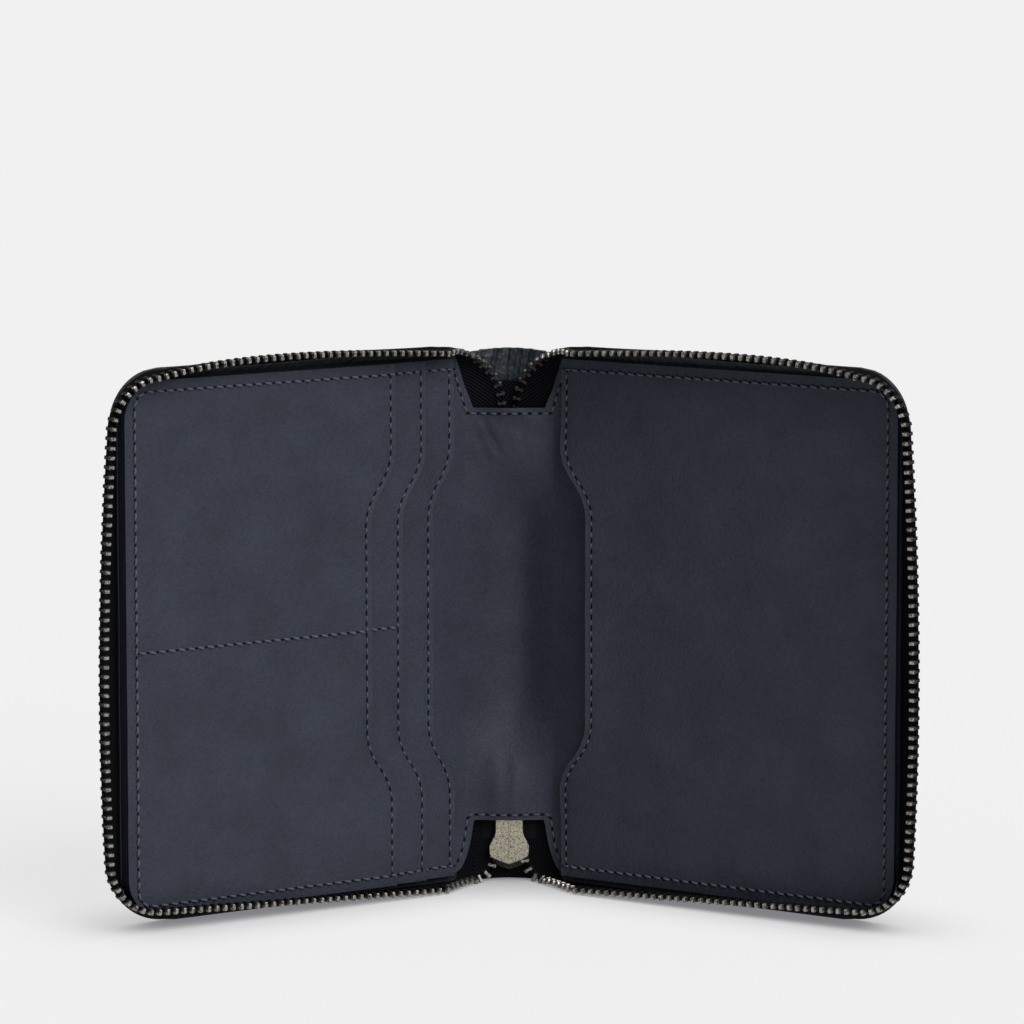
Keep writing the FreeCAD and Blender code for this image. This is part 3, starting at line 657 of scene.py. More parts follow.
def liner_cuts(station):
    """How far the lining stops short of its lower and upper ends at a station."""
    from_corner = LINER_FAR - TROUGH_JOIN - (station - TROUGH_HALF)
    if from_corner < LINER_RADIUS:
        cut = LINER_RADIUS - math.sqrt(
            max(LINER_RADIUS ** 2 - (LINER_RADIUS - from_corner) ** 2, 0))
        return cut, cut
    return notch_depth(station, False), notch_depth(station, True)


def make_liner(name, side, material):
    low, high = LINER_FOOT, COVER_TOP - LINER_FOOT

    def place(share, station):
        cut, top_cut = liner_cuts(station)
        height = low + cut + (high - low - cut - top_cut) * share
        relief = lining_relief(side, station, height)
        return (liner_point(side, station, height, relief),
                liner_point(side, station, height, -0.5), (side * station, height))

    piece = shaped_sheet(f"lining_leather_{name}", spread(0.0, 1.0, 120, 0.6),
                         liner_stations(LINER_FAR), place, material, 0.2, joined=True)
    blend_lining(piece)
    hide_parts(f"liner_{name}", "liner_spine")
    return piece


def blend_lining(piece):
    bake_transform(piece)


# ------------------------------------------------------------------ pockets

def rolled_edge(side, inside, height):
    """How far a pocket stands up near its free edge; the passport pocket gapes more."""
    rise = min(height, COVER_TOP - height)
    rolled = 0.32 * math.exp(-inside / 3.5) * smooth(rise, LINER_FOOT, 40.0)
    if side == RIGHT:
        rolled += 1.7 * math.exp(-inside / 9.0) * smooth(rise, 14.0, 42.0)
    return rolled


def pocket_swell(side, end, across, inside, height):
    """Height of a pocket's face over its even level, with the dip along its seam."""
    soft = 0.16 * noise.noise(Vector((across * 0.07, height * 0.07, end)))
    dip = 0.22 * math.exp(-((min(inside, 40.0) - EDGE_SEAM) / 0.7) ** 2)
    return rolled_edge(side, inside, height) + soft - dip


def make_pocket(name, side, half, end, depth_of_scoop, low_level, high_level, material):
    low, high = LINER_FOOT + POCKET_INSET, COVER_TOP - LINER_FOOT - POCKET_INSET

    def place(height, share):
        near = scoop(height, end, depth_of_scoop)
        reach = corner_far(LINER_FAR - POCKET_INSET, LINER_RADIUS - POCKET_INSET, low, high, height)
        across = near + (reach - near) * share
        rolled = rolled_edge(side, across - near, height)
        swell = pocket_swell(side, end, across, across - near, height)
        return (in_half(side, across, high_level + swell, height),
                in_half(side, across, low_level + 0.08 + rolled, height),
                (side * across + 7.0 * end, height))

    piece = shaped_sheet(f"{name}_leather", spread(low, high, 120, 0.5), spread(0.0, 1.0, 56, 0.6),
                         place, material, 0.38)
    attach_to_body(piece, f"{half}_half")
    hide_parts(name)
    return piece


# ------------------------------------------------------------------ stitching

def top_level(side, across, height):
    """Depth of the uppermost layer's face at a place on a half."""
    level = LINER_FRONT + lining_relief(side, across - TROUGH_JOIN + TROUGH_HALF, height)
    for _, end, depth_of_scoop, _, high_level in POCKETS[side]:
        inside = across - scoop(height, end, depth_of_scoop)
        if inside > 0:
            level = high_level + pocket_swell(side, end, across, inside, height)
    return level


def stitch_mesh(verts, faces, start, end, normal, radius, sink):
    """One lock stitch: a short thread that dives into the leather at both ends."""
    along = end - start
    across = along.cross(normal).normalized()
    rings, sides = 7, 6
    first = len(verts)
    for ring in range(rings):
        t = ring / (rings - 1)
        bow = math.sin(math.pi * t)
        centre = start + along * t + normal * (radius * 0.9 * bow - sink * (1 - bow))
        width = radius * (0.5 + 0.5 * bow ** 0.5)
        for step in range(sides):
            angle = 2 * math.pi * step / sides
            offset = across * math.cos(angle) * width + normal * math.sin(angle) * width * 0.85
            verts.append(centre + offset)
    faces.extend(capped_tube(rings, sides, first))


def hole_mesh(verts, faces, centre, normal, along, length, width):
    """Needle hole: a flat dark oval laid just above the leather, a painted shadow of the hole,
    longer along the seam.
    """
    across = along.cross(normal).normalized()
    first = len(verts)
    sides = 10
    for step in range(sides):
        angle = 2 * math.pi * step / sides
        verts.append(centre + along * math.cos(angle) * length
                     + across * math.sin(angle) * width + normal * 0.03 * MM)
    verts.append(centre + normal * 0.06 * MM)
    for step in range(sides):
        faces.append((first + step, first + (step + 1) % sides, first + sides))


class Seam:
    """Collects the stitches and needle holes of one piece's seams."""

    def __init__(self, name, thread, hole):
        self.name, self.thread, self.hole = name, thread, hole
        self.threads, self.holes = ([], []), ([], [])

    def run(self, line, normals, pitch=STITCH_PITCH, share=0.74, slant=0.0, radius=0.3,
            hole=(0.5, 0.3)):
        """Stitches along a line of points with a normal at each."""
        count = max(1, round(length_mm(line) / pitch))
        points = resample(line, count * 2)
        for index in range(count):
            start, middle, end = points[2 * index:2 * index + 3]
            normal = normals[min(int((index + 0.5) / count * len(normals)), len(normals) - 1)]
            along = end - start
            lean = along.cross(normal).normalized() * slant * MM
            stitch_mesh(*self.threads, middle - along * share / 2 - lean,
                        middle + along * share / 2 + lean, normal, radius * MM, 0.1 * MM)
            ahead = (along.normalized() + lean / MM * 0.6).normalized()
            hole_mesh(*self.holes, start, normal, ahead, hole[0] * MM, hole[1] * MM)
        hole_mesh(*self.holes, points[-1], normals[-1], along.normalized(), hole[0] * MM,
                  hole[1] * MM)

    def build(self, attach):
        pieces = [add_object(f"{self.name}_thread", *self.threads, self.thread, sharp=180.0),
                  add_object(f"{self.name}_needle_holes", *self.holes, self.hole, sharp=180.0)]
        for piece in pieces:
            attach(piece)
        return pieces


def rounded_run(low_across, far, low, high, radius):
    """Outline of the three free sides of a panel, as (across, height) pairs."""
    pairs = [(low_across, high)]
    pairs += [(value, high) for value in spread(low_across, far - radius, 24)[1:]]
    for step in range(1, 12):
        angle = math.pi / 2 * (1 - step / 12)
        pairs.append((far - radius + radius * math.cos(angle),
                      high - radius + radius * math.sin(angle)))
    pairs += [(far, value) for value in spread(high - radius, low + radius, 24)]
    for step in range(1, 12):
        angle = -math.pi / 2 * step / 12
        pairs.append((far - radius + radius * math.cos(angle),
                      low + radius + radius * math.sin(angle)))
    pairs += [(value, low) for value in spread(far - radius, low_across, 24)]
    return pairs


def panel_line(side, pairs):
    return [in_half(side, across, top_level(side, across, height) + 0.02, height)
            for across, height in pairs]


# ------------------------------------------------------------------ zip

def bowed(start, via, end, count):
    """Arc through three points of a half's plane."""
    points = []
    for step in range(count + 1):
        t = step / count
        a = (1 - t) * (1 - 2 * t)
        b = 4 * t * (1 - t)
        c = t * (2 * t - 1)
        points.append(Vector((a * start[0] + b * via[0] + c * end[0],
                              a * start[1] + b * via[1] + c * end[1])))
    return points


def corner_arc(centre, radius, first, last, count=14):
    return [Vector((centre[0] + radius * math.cos(a), centre[1] + radius * math.sin(a)))
            for a in spread(math.radians(first), math.radians(last), count)]


def wall_line(far, top_far, foot_far, top, top_end, foot_end, foot, foot_start, radius):
    """Run of the zip round a half's three free sides."""
    middle_x = (CHAIN_START + far) / 2
    line = bowed((CHAIN_START, top_end + 1.1), (middle_x, top), (top_far - radius, top_end), 40)
    line += corner_arc((top_far - radius, top_end - radius), radius, 90, 0)[1:]
    line += bowed((top_far, top_end - radius), (far, MID_HEIGHT),
                  (foot_far, foot_end + radius), 50)[1:]
    line += corner_arc((foot_far - radius, foot_end + radius), radius, 0, -90)[1:]
    line += bowed((foot_far - radius, foot_end), (middle_x, foot), (CHAIN_START, foot_start),
                  40)[1:]
    return line


CHAIN_LINE = wall_line(109.3, 106.8, 108.4, 138.6, 135.6, 4.8, 3.1, 1.0, 13.5)
FOOT_FAR = COVER_FAR - 0.4
FOOT_LINE = wall_line(FOOT_FAR, FOOT_FAR, FOOT_FAR, COVER_TOP - 0.7, COVER_TOP - 0.7, 0.7, 0.7, 0.7,
                      COVER_RADIUS - 0.5)
UPPER_CHAIN = [(12.9, -7.7, -0.5), (8.7, -3.0, -3.5), (5.2, -0.8, -7.2), (3.7, 0.2, -10.2),
               (2.9, 0.4, -13.2), (2.5, 0.4, -17.5)]
LOWER_CHAIN = [(12.7, -7.9, 1.1), (9.1, -2.3, 1.2), (7.3, -0.7, 1.5), (6.0, 0.2, 2.7),
               (5.0, 0.4, 5.0), (4.3, 0.4, 9.6), (4.2, 0.4, 17.5)]
UPPER_SEWN = [(14.4, -3.6, -1.2), (13.2, -2.8, -4.4), (12.5, -2.3, -9.5), (12.3, -2.1, -17.5)]
LOWER_SEWN = [(14.4, -3.6, 0.8), (13.2, -2.8, 1.6), (12.5, -2.3, 4.4), (12.3, -2.1, 9.6),
              (12.3, -2.1, 17.5)]


def bend_line(side, start, points, base, count):
    """Zip edge from the end of a half's run to the spine."""
    placed = [start / MM] + [Vector((side * x, FOLD.y + y, base + z)) for x, y, z in points]
    return [point * MM for point in catmull(placed, count)]


def zip_rails(side):
    """Sewn edge and chain edge of one half's zip, station by station."""
    chain = [in_half(side, p.x, CHAIN_NEAR, p.y) for p in CHAIN_LINE]
    foot = [in_half(side, p.x, 2.0, p.y) for p in FOOT_LINE]
    upper_chain = bend_line(side, chain[0], UPPER_CHAIN, COVER_TOP, BEND)
    upper_sewn = bend_line(side, foot[0], UPPER_SEWN, COVER_TOP, BEND)
    lower_chain = bend_line(side, chain[-1], LOWER_CHAIN, 0.0, BEND)
    lower_sewn = bend_line(side, foot[-1], LOWER_SEWN, 0.0, BEND)
    rails_chain = upper_chain[:0:-1] + chain + lower_chain[1:]
    rails_sewn = upper_sewn[:0:-1] + foot + lower_sewn[1:]
    return rails_sewn, rails_chain


def blend_zip(piece):
    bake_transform(piece)


def make_tape(name, side, material):
    sewn, chain = zip_rails(side)
    travelled = steps_along(chain, MM)
    middle = Vector((side * 45.0, FOLD.y - 20.0, MID_HEIGHT)) * MM

    def place(index, t):
        across = chain[index] - sewn[index]
        along = chain[min(index + 1, len(chain) - 1)] - chain[max(index - 1, 0)]
        normal = along.cross(across).normalized()
        if normal.dot(middle - sewn[index]) < 0:
            normal = -normal
        bulge = -0.7 * math.sin(math.pi * t) * MM
        point = sewn[index] + across * (t * 1.08) + normal * bulge
        bead = 0.32 + 0.30 * smooth(t, 0.86, 0.95)
        return (point + normal * bead * MM / 2, point - normal * bead * MM / 2,
                (travelled[index], t * across.length / MM))

    piece = shaped_sheet(f"zip_tape_cloth_{name}", range(len(sewn)),
                         [step / 10 for step in range(11)], place, material, 0.12)
    blend_zip(piece)
    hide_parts(f"zip_tape_{name}", f"zip_gusset_{name}")
    return piece


def make_gusset_cloth(name, low, high, centre, edge, material):
    """Dark cloth inside the spine, behind one end of the zip."""
    def place(height, x):
        depth = centre + (edge - centre) * (x / GUSSET_HALF) ** 2
        depth += 0.3 * noise.noise(Vector((x * 0.25, height * 0.2, 11.0)))
        return (Vector((x, FOLD.y + depth, height)) * MM,
                Vector((x, FOLD.y + depth + 0.4, height)) * MM, (x, height))

    piece = shaped_sheet(f"gusset_cloth_{name}", spread(low, high, 24),
                         spread(-GUSSET_HALF, GUSSET_HALF, 36), place, material, 0.12)
    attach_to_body(piece, "spine")


TOOTH_OUTLINE = ((-0.46, -0.6), (0.46, -0.6), (0.52, 0.1), (0.36, 0.8), (0.36, 1.3),
                 (0.54, 1.7), (0.54, 2.3), (0.36, 2.7), (-0.36, 2.7), (-0.54, 2.3),
                 (-0.54, 1.7), (-0.36, 1.3), (-0.36, 0.8), (-0.52, 0.1))
TOOTH_HALF = 0.72
TOOTH_FACES = 3 * len(TOOTH_OUTLINE) + 2
HEAD = range(5, 10)


def tooth_mesh(verts, faces, bright, centre, along, inward, tilt, length):
    """One stamped tooth: legs over the tape in the dark finish, patina and painted shade, and a
    rounded head in the bright finish, rubbed wear and a painted highlight.
    """
    across = along.cross(inward).normalized()
    layers = ((-1.0, 0.72), (-0.66, 1.0), (0.66, 1.0), (1.0, 0.72))
    first = len(verts)
    count = len(TOOTH_OUTLINE)
    for level, scale in layers:
        for x, y in TOOTH_OUTLINE:
            shift = ((y - 1.1) * (0.6 + 0.4 * scale) + 1.1) * length
            verts.append(centre + (along * (x * scale + tilt * level)
                                   + inward * shift + across * level * TOOTH_HALF) * MM)
    faces.extend(capped_tube(len(layers), count, first))
    # Head faces take the bright finish (rubbed wear and a painted highlight), the other faces the
    # dark finish (patina and painted shade).
    bright.extend([column in HEAD for column in range(count)] * (len(layers) - 1))
    bright.extend((False, False))


def make_teeth(name, side, material, patina_and_shade):
    sewn, chain = zip_rails(side)
    total = length_mm(chain)
    count = int(total / TOOTH_PITCH)
    stations = resample(chain, count * 4)
    last = len(chain) - 1
    lengths = steps_along(chain, MM)
    verts, faces, bright = [], [], []
    at = 0
    for index in range(count):
        place = 4 * index + (1 if side == LEFT else 3)
        goal = total * place / (4 * count)
        while at < last - 1 and lengths[at + 1] < goal:
            at += 1
        on_half = BEND <= at < last - BEND
        height = stations[place].z / MM
        if not on_half and CHAIN_END < height < MID_HEIGHT:
            break
        t = (goal - lengths[at]) / max(lengths[at + 1] - lengths[at], 1e-9)
        along = (stations[place + 1] - stations[place - 1]).normalized()
        inward = stations[place] - sewn[at].lerp(sewn[at + 1], t)
        if on_half:
            inward = half_normal(side)
        inward = (inward - along * inward.dot(along)).normalized()
        tilt = 0.05 * math.sin(index * 12.9898)
        length = 1.0 if on_half else BEND_TOOTH
        tooth_mesh(verts, faces, bright, stations[place], along, inward, tilt, length)
        # Teeth of the lower bend take the bright finish, rubbed wear and a painted highlight, on
        # every face.
        if not on_half and height < MID_HEIGHT:
            bright[-TOOTH_FACES:] = [True] * TOOTH_FACES
    piece = add_object(f"zip_teeth_metal_{name}", verts, faces, material, sharp=35.0)
    piece.data.materials.append(patina_and_shade)
    for polygon, is_bright in zip(piece.data.polygons, bright):
        polygon.material_index = 0 if is_bright else 1
    blend_zip(piece)
    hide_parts(f"zip_teeth_{name}", f"zip_bend_teeth_{name}")
    return piece


# ------------------------------------------------------------------ slider

def extruded(outline, low, high):
    """Prism between two depths over an outline of (x, z) pairs, in millimetres."""
    count = len(outline)
    verts = [Vector((x, low, z)) * MM for x, z in outline]
    verts += [Vector((x, high, z)) * MM for x, z in outline]
    faces = [tuple(range(count)), tuple(range(count, 2 * count))]
    faces += [(i, (i + 1) % count, (i + 1) % count + count, i + count) for i in range(count)]
    return verts, faces


def merged(parts):
    verts, faces = [], []
    for part_verts, part_faces in parts:
        base = len(verts)
        verts += part_verts
        faces += [tuple(base + index for index in face) for face in part_faces]
    return verts, faces


def plate_outline(tip, top, grow=0.0):
    """Slider plate: pointed foot, wide shoulders, waist and a round narrow end."""
    half = [(0.9, tip + 0.3), (3.6, tip + 1.35), (4.7, tip + 1.9), (5.05 + grow, tip + 2.8),
            (5.1 + grow, tip + 4.7), (4.75 + grow, tip + 5.5), (3.8 + grow, tip + 7.3),
            (3.5 + grow, tip + 8.3), (3.45 + grow, tip + 11.0), (3.4 + grow, top - 1.3),
            (2.7, top - 0.4), (1.4, top)]
    return [(0.0, tip)] + half + [(-x, z) for x, z in reversed(half)]


def make_slider(material, painted_shade_metal):
    low, high = (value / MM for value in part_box("zip_slider_body"))
    tip, top = low.z, high.z
    near, far = low.y, high.y
    plate, slot = 0.8, 0.45
    # The rear plate takes the dark finish: painted shade behind the front plate, which keeps the
    # bright slider metal.
    rear = add_object("zip_slider_rear_metal",
                      *extruded(plate_outline(tip - 2.1, top, 0.1), far - plate, far),
                      painted_shade_metal, sharp=30.0)
    round_edges(rear, 0.22, 3, 35.0)
    parts = [extruded(plate_outline(tip, top), near, near + plate),
             extruded([(0.0, tip + 1.4), (0.9, tip + 3.8), (0.0, tip + 6.2), (-0.9, tip + 3.8)],
                      near + plate / 2, far - plate / 2)]
    for side in (LEFT, RIGHT):
        rail = [(side * 3.0, tip + 7.6), (side * 3.6, tip + 7.6), (side * 3.5, top - 1.6),
                (side * 3.0, top - 1.6)]
        parts.append(extruded(rail, near + plate / 2, CHAIN_DEPTH - slot))
        parts.append(extruded(rail, CHAIN_DEPTH + slot, far - plate / 2))
    piece = add_object("zip_slider_metal", *merged(parts), material, sharp=30.0)
    round_edges(piece, 0.22, 3, 35.0)
    ridge = extruded([(-0.22, tip + 1.6), (0.22, tip + 1.6), (0.22, top - 0.8), (-0.22, top - 0.8)],
                     near - 0.12, near + 0.2)
    rib = add_object("zip_slider_rib", *ridge, material, sharp=30.0)
    round_edges(rib, 0.1, 2, 35.0)
    for item in (piece, rib, rear):
        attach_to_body(item, "slider")
    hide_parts("zip_slider_body")


def tube_mesh(path, radius, sides=10):
    verts = []
    for index, point in enumerate(path):
        along = (path[min(index + 1, len(path) - 1)] - path[max(index - 1, 0)]).normalized()
        side_axis = along.cross(Vector((0, 0.2, 1))).normalized()
        up_axis = along.cross(side_axis)
        for step in range(sides):
            angle = 2 * math.pi * step / sides
            verts.append(point + (side_axis * math.cos(angle) + up_axis * math.sin(angle)) * radius)
    return verts, capped_tube(len(path), sides)


def make_bail_and_pull(material):
    low, high = (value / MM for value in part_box("zip_slider_bail"))
    middle = (low.z + high.z) / 2
    bar = high.y - 0.5
    path = [(-1.9, low.y + 0.1, middle), (-1.9, bar - 0.5, middle), (-1.5, bar, middle),
            (1.5, bar, middle), (1.9, bar - 0.5, middle), (1.9, low.y + 0.1, middle)]
    bail = add_object("zip_slider_bail_metal",
                      *tube_mesh([Vector(p) * MM for p in path], 0.48 * MM), material, sharp=40.0)
    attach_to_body(bail, "slider")
    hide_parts("zip_slider_bail")
    pull_low, pull_high = (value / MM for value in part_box("zip_pull"))
    eye_top = middle + 1.5
    outline = [(-1.0, eye_top - 3.2), (1.0, eye_top - 3.2), (1.35, eye_top - 2.0),
               (1.35, eye_top), (3.0, eye_top + 2.6), (3.2, pull_high.z - 1.8),
               (2.2, pull_high.z), (-2.2, pull_high.z), (-3.2, pull_high.z - 1.8),
               (-3.0, eye_top + 2.6), (-1.35, eye_top), (-1.35, eye_top - 2.0)]
    slab = extruded(outline, bar - 0.4, bar + 0.4)
    cheeks = [extruded([(x - 0.3, middle - 1.0), (x + 0.3, middle - 1.0), (x + 0.3, middle + 1.0),
                        (x - 0.3, middle + 1.0)], bar - 0.95, bar + 0.95) for x in (-0.9, 0.9)]
    pull = add_object("zip_pull_metal", *merged([slab] + cheeks), material, sharp=30.0)
    round_edges(pull, 0.2, 3, 35.0)
    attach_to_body(pull, "pull")
    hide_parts("zip_pull")


# ------------------------------------------------------------------ settings

def colour_property(name, description, default):
    return bpy.props.FloatVectorProperty(name=name, description=description, default=default,
                                         size=3, min=0.0, max=1.0, subtype="COLOR")


class WalletColours(bpy.types.PropertyGroup):
    cover: colour_property("Cover", "Pebbled cover leather", (0.014, 0.019, 0.026))
    lining: colour_property("Lining", "Smooth lining and pocket leather", (0.0335, 0.0383, 0.0548))
    tape: colour_property("Tape", "Woven zip tape", (0.0036, 0.0038, 0.0050))
    # The bright tooth colour is rubbed wear and a painted highlight; the dark one is patina and
    # painted shade, also used on the slider's rear plate.
    teeth: colour_property("Teeth", "Zip teeth where rubbed bright", (0.40, 0.385, 0.35))
    teeth_dark: colour_property("Teeth patina", "Dark patina on the teeth", (0.05, 0.045, 0.04))
    slider: colour_property("Slider", "Slider where rubbed bright", (0.52, 0.48, 0.38))
    slider_dark: colour_property("Slider patina", "Dark specks of the slider", (0.10, 0.09, 0.07))
    thread: colour_property("Thread", "Sewing thread", (0.054, 0.061, 0.084))
    board: colour_property("Board", "Stiffener board", (0.20, 0.18, 0.15))
    floor: colour_property("Floor", "Studio floor", (0.15, 0.15, 0.15))


class WalletStage(bpy.types.PropertyGroup):
    camera_distance: bpy.props.FloatProperty(
        name="Camera distance", description="Camera to the spine, along Y", default=1.3754,
        unit="LENGTH")
    camera_height: bpy.props.FloatProperty(
        name="Camera height", description="Camera above the ground", default=0.2828,
        unit="LENGTH")
    camera_tilt: bpy.props.FloatProperty(
        name="Camera tilt", description="Camera below the level", default=math.radians(7.78),
        subtype="ANGLE")
    camera_pan: bpy.props.FloatProperty(
        name="Camera pan", description="Camera to the right of straight ahead",
        default=math.radians(0.03), subtype="ANGLE")
    lens: bpy.props.FloatProperty(
        name="Lens", description="Focal length on a 36 mm sensor", default=193.4,
        unit="CAMERA")
    sun_strength: bpy.props.FloatProperty(
        name="Key light", description="Strength of the soft key light", default=3.2)
    sky_strength: bpy.props.FloatProperty(
        name="Fill light", description="Strength of the even fill light", default=0.35)


def colours():
    return bpy.context.scene.wallet_colours


def finish_for(key):
    """The wallet's materials, each made once and shared."""
    found = bpy.data.materials.get(key)
    if found:
        return found
    dye = colours()
    makers = {
        "pebbled_cover": lambda: leather_material("pebbled_cover", dye.cover, 1.15, 0.34, 0.42,
                                                  0.35),
        "smooth_lining": lambda: leather_material("smooth_lining", dye.lining, 0.7, 0.16, 0.5),
        "woven_tape": lambda: tape_material("woven_tape", dye.tape),
        "rubbed_and_highlit_teeth": lambda: metal_material("rubbed_and_highlit_teeth", dye.teeth, dye.teeth_dark,
                                                0.30, 1.6),
        "tooth_patina_and_shade": lambda: metal_material("tooth_patina_and_shade", dye.teeth_dark,
                                                    shade(dye.teeth_dark, 0.4), 0.42, 1.6),
        "aged_slider": lambda: metal_material("aged_slider", dye.slider, dye.slider_dark,
                                              0.36, 3.3),
        "sewing_thread": lambda: thread_material("sewing_thread", dye.thread),
        "needle_hole_shadow": hole_shadow_material,
        "board_fibre": lambda: leather_material("board_fibre", dye.board, 0.8, 0.03, 0.8,
                                                0.2, "Object", 1.0 / MM),
        "hidden_tape": lambda: leather_material("hidden_tape", dye.tape, 0.35, 0.05, 0.85,
                                                0.1, "Object", 1.0 / MM),
        "studio_floor": lambda: floor_material(dye.floor),
    }
    return makers[key]()


# ------------------------------------------------------------------ operators

class WALLET_OT_stage(bpy.types.Operator):
    """Floor, soft studio light and the camera"""
    bl_idname = "wallet.stage"
    bl_label = "Stage"

    def execute(self, context):
        settings = context.scene.wallet_stage
        verts = [(x * FLOOR_SIZE, y * FLOOR_SIZE, 0)
                 for x, y in ((-1, -1), (1, -1), (1, 1), (-1, 1))]
        floor = add_object("studio_floor", verts, [(0, 1, 2, 3)], finish_for("studio_floor"))
        sun = bpy.data.lights.new("key_light", "SUN")
        sun.energy = settings.sun_strength
        sun.angle = KEY_SOFTNESS
        sun.color = (1.0, 0.985, 0.965)
        lamp = bpy.data.objects.new("key_light", sun)
        lamp.rotation_euler = Vector(KEY_DIRECTION).to_track_quat("-Z", "Y").to_euler()
        context.scene.collection.objects.link(lamp)
        world = bpy.data.worlds.new("studio_light")
        world.use_nodes = True
        background = world.node_tree.nodes["Background"]
        background.inputs["Color"].default_value = (0.95, 0.98, 1.0, 1.0)
        background.inputs["Strength"].default_value = settings.sky_strength
        context.scene.world = world
        context.scene.view_settings.view_transform = "Standard"
        data = bpy.data.cameras.new("camera")
        data.lens = settings.lens
        data.sensor_width = 36.0
        camera = bpy.data.objects.new("camera", data)
        camera.location = (0.0, FOLD.y * MM - settings.camera_distance, settings.camera_height)
        camera.rotation_euler = (math.pi / 2 - settings.camera_tilt, 0.0, -settings.camera_pan)
        context.scene.collection.objects.link(camera)
        context.scene.camera = camera
        return {"FINISHED"}


class WALLET_OT_cover(bpy.types.Operator):
    """Pebbled cover leather of both halves and the spine"""
    bl_idname = "wallet.cover"
    bl_label = "Cover"

    def execute(self, context):
        for name, side in SIDES:
            make_cover(name, side, finish_for("pebbled_cover"))
        return {"FINISHED"}


class WALLET_OT_lining(bpy.types.Operator):
    """Smooth lining of both halves and the trough of the spine"""
    bl_idname = "wallet.lining"
    bl_label = "Lining"

    def execute(self, context):
        for name, side in SIDES:
            make_liner(name, side, finish_for("smooth_lining"))
        return {"FINISHED"}


class WALLET_OT_pockets(bpy.types.Operator):
    """Three stepped card pockets and the passport pocket"""
    bl_idname = "wallet.pockets"
    bl_label = "Pockets"

    def execute(self, context):
        for half, side in SIDES:
            for name, end, depth, low, high in POCKETS[side]:
                node = "passport_pocket" if side == RIGHT else f"card_pocket_{name}"
                make_pocket(node, side, half, end, depth, low, high, finish_for("smooth_lining"))
        return {"FINISHED"}


class WALLET_OT_zip(bpy.types.Operator):
    """Zip tape and teeth round both halves"""
    bl_idname = "wallet.zip"
    bl_label = "Zip"

    def execute(self, context):
        for name, side in SIDES:
            make_tape(name, side, finish_for("woven_tape"))
            make_teeth(name, side, finish_for("rubbed_and_highlit_teeth"), finish_for("tooth_patina_and_shade"))
        cloth = finish_for("woven_tape")
        make_gusset_cloth("upper", COVER_TOP - 19.0, COVER_TOP - 9.0, 2.2, -0.6, cloth)
        make_gusset_cloth("lower", 0.3, 17.5, 3.0, -0.8, cloth)
        return {"FINISHED"}


class WALLET_OT_slider(bpy.types.Operator):
    """Zip slider with its bail and pull"""
    bl_idname = "wallet.slider"
    bl_label = "Slider"

    def execute(self, context):
        make_slider(finish_for("aged_slider"), finish_for("tooth_patina_and_shade"))
        make_bail_and_pull(finish_for("aged_slider"))
        return {"FINISHED"}


class WALLET_OT_inner_parts(bpy.types.Operator):
    """Finishes of the pieces kept from the frame"""
    bl_idname = "wallet.inner_parts"
    bl_label = "Inner parts"

    def execute(self, context):
        kept = {
            "board_fibre": ("stiffener_left", "stiffener_right"),
            "hidden_tape": ("zip_tape_end_upper", "zip_tape_end_lower"),
            "rubbed_and_highlit_teeth": ("zip_joined_teeth", "zip_bottom_stop", "zip_top_stops"),
        }
        for finish, nodes in kept.items():
            for node in nodes:
                data = frame["nodes"][node].data
                data.materials.clear()
                data.materials.append(finish_for(finish))
        return {"FINISHED"}


class WALLET_OT_stitching(bpy.types.Operator):
    """Thread and needle holes of every seam"""
    bl_idname = "wallet.stitching"
    bl_label = "Stitching"

    def execute(self, context):
        thread, hole = finish_for("sewing_thread"), finish_for("needle_hole_shadow")
        for name, side in SIDES:
            normal = half_normal(side)
            panel = Seam(f"panel_seam_{name}", thread, hole)
            inset = LINER_FAR - PANEL_SEAM
            low = LINER_FOOT + PANEL_SEAM
            pairs = rounded_run(7.0, inset, low, COVER_TOP - low, 4.0)
            panel.run(panel_line(side, pairs), [normal], slant=0.22, radius=0.34)
            heights = spread(LINER_FOOT + 3.2, COVER_TOP - LINER_FOOT - 3.2, 90)
            for _, end, depth, _, _ in POCKETS[side]:
                pairs = [(scoop(z, end, depth) + EDGE_SEAM, z) for z in heights]
                panel.run(panel_line(side, pairs), [normal], slant=0.10, radius=0.24, share=0.44,
                          hole=(0.74, 0.42))
            if side == LEFT:
                height = MID_HEIGHT - 0.5
                for near, far in ((22.9, 30.9), (32.6, inset - 0.5)):
                    pairs = [(across, height) for across in spread(near, far, 40)]
                    panel.run(panel_line(side, pairs), [normal], slant=0.3, radius=0.34)
            panel.build(lambda piece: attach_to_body(piece, f"{name}_half"))
            notch = Seam(f"notch_seam_{name}", thread, hole)
            for upper in (True, False):
                notch_run(notch, side, upper)
            notch.build(lambda piece: blend_lining(piece))
            outer = Seam(f"cover_seam_{name}", thread, hole)
            pairs = rounded_run(4.0, COVER_FAR - 4.6, COVER_SEAM, COVER_TOP - COVER_SEAM, 7.5)
            line = [in_half(side, across, -0.06, height) for across, height in pairs]
            outer.run(line, [-normal], slant=0.12)
            outer.build(lambda piece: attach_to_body(piece, f"{name}_half"))
        return {"FINISHED"}


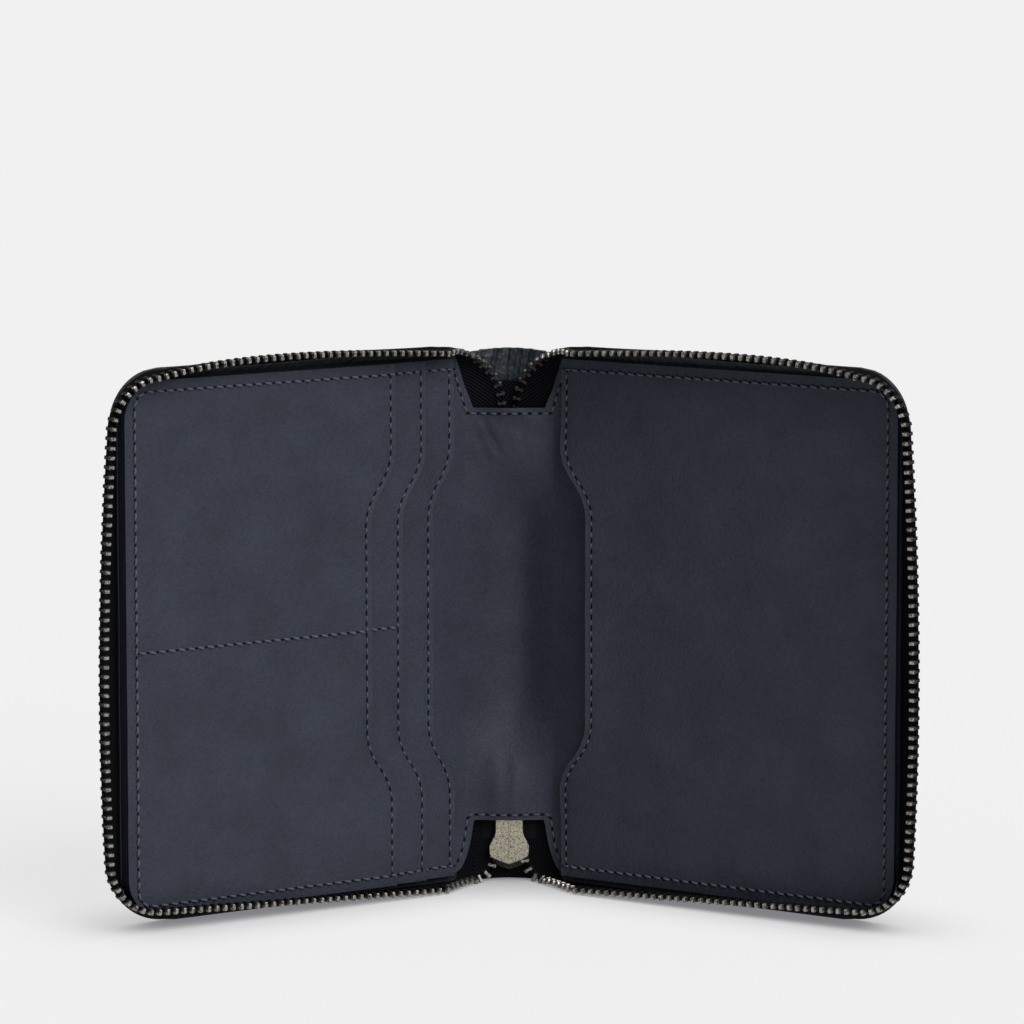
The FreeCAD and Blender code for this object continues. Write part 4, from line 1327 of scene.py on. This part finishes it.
def notch_run(seam, side, upper):
    """Seam that follows a notch's edge from the panel to the middle of the spine."""
    line, normals = [], []
    for station in spread(TROUGH_HALF + 6.6, 0.0, 40):
        reach = station - TROUGH_HALF
        cut = notch_depth(max(station - 1.5, 0.0), upper)
        height = LINER_FOOT + max(cut, 1.5) + 1.4
        if upper:
            height = COVER_TOP - height
        lift = 0.06 + lining_relief(side, station, height)
        if reach > 3.0:
            lift = 0.06 + top_level(side, TROUGH_JOIN + reach, height) - LINER_FRONT
        line.append(liner_point(side, station, height, lift))
        step = liner_point(side, station + 0.4, height, lift) - liner_point(
            side, max(station - 0.4, 0.0), height, lift)
        normal = step.cross(Vector((0, 0, side))).normalized()
        normals.append(normal if normal.y < 0 else -normal)
    seam.run(line, normals, share=0.6, radius=0.24, hole=(0.6, 0.36))


class WALLET_PT_panel(bpy.types.Panel):
    bl_label = "Passport wallet"
    bl_idname = "WALLET_PT_panel"
    bl_space_type = "VIEW_3D"
    bl_region_type = "UI"
    bl_category = "Wallet"

    def draw(self, context):
        for operator in OPERATORS:
            self.layout.operator(operator.bl_idname)
        for group in (context.scene.wallet_colours, context.scene.wallet_stage):
            for name in group.bl_rna.properties.keys():
                if name not in ("rna_type", "name"):
                    self.layout.prop(group, name)


OPERATORS = (WALLET_OT_stage, WALLET_OT_cover, WALLET_OT_lining, WALLET_OT_pockets,
             WALLET_OT_zip, WALLET_OT_slider, WALLET_OT_inner_parts, WALLET_OT_stitching)
CLASSES = (WalletColours, WalletStage) + OPERATORS + (WALLET_PT_panel,)


def register():
    for item in CLASSES:
        bpy.utils.register_class(item)
    bpy.types.Scene.wallet_colours = bpy.props.PointerProperty(type=WalletColours)
    bpy.types.Scene.wallet_stage = bpy.props.PointerProperty(type=WalletStage)


def unregister():
    del bpy.types.Scene.wallet_stage
    del bpy.types.Scene.wallet_colours
    for item in reversed(CLASSES):
        bpy.utils.unregister_class(item)


def main():
    register()
    bpy.ops.wallet.stage()
    bpy.ops.wallet.cover()
    bpy.ops.wallet.lining()
    bpy.ops.wallet.pockets()
    bpy.ops.wallet.zip()
    bpy.ops.wallet.slider()
    bpy.ops.wallet.inner_parts()
    bpy.ops.wallet.stitching()


if __name__ == "__main__":
    main()
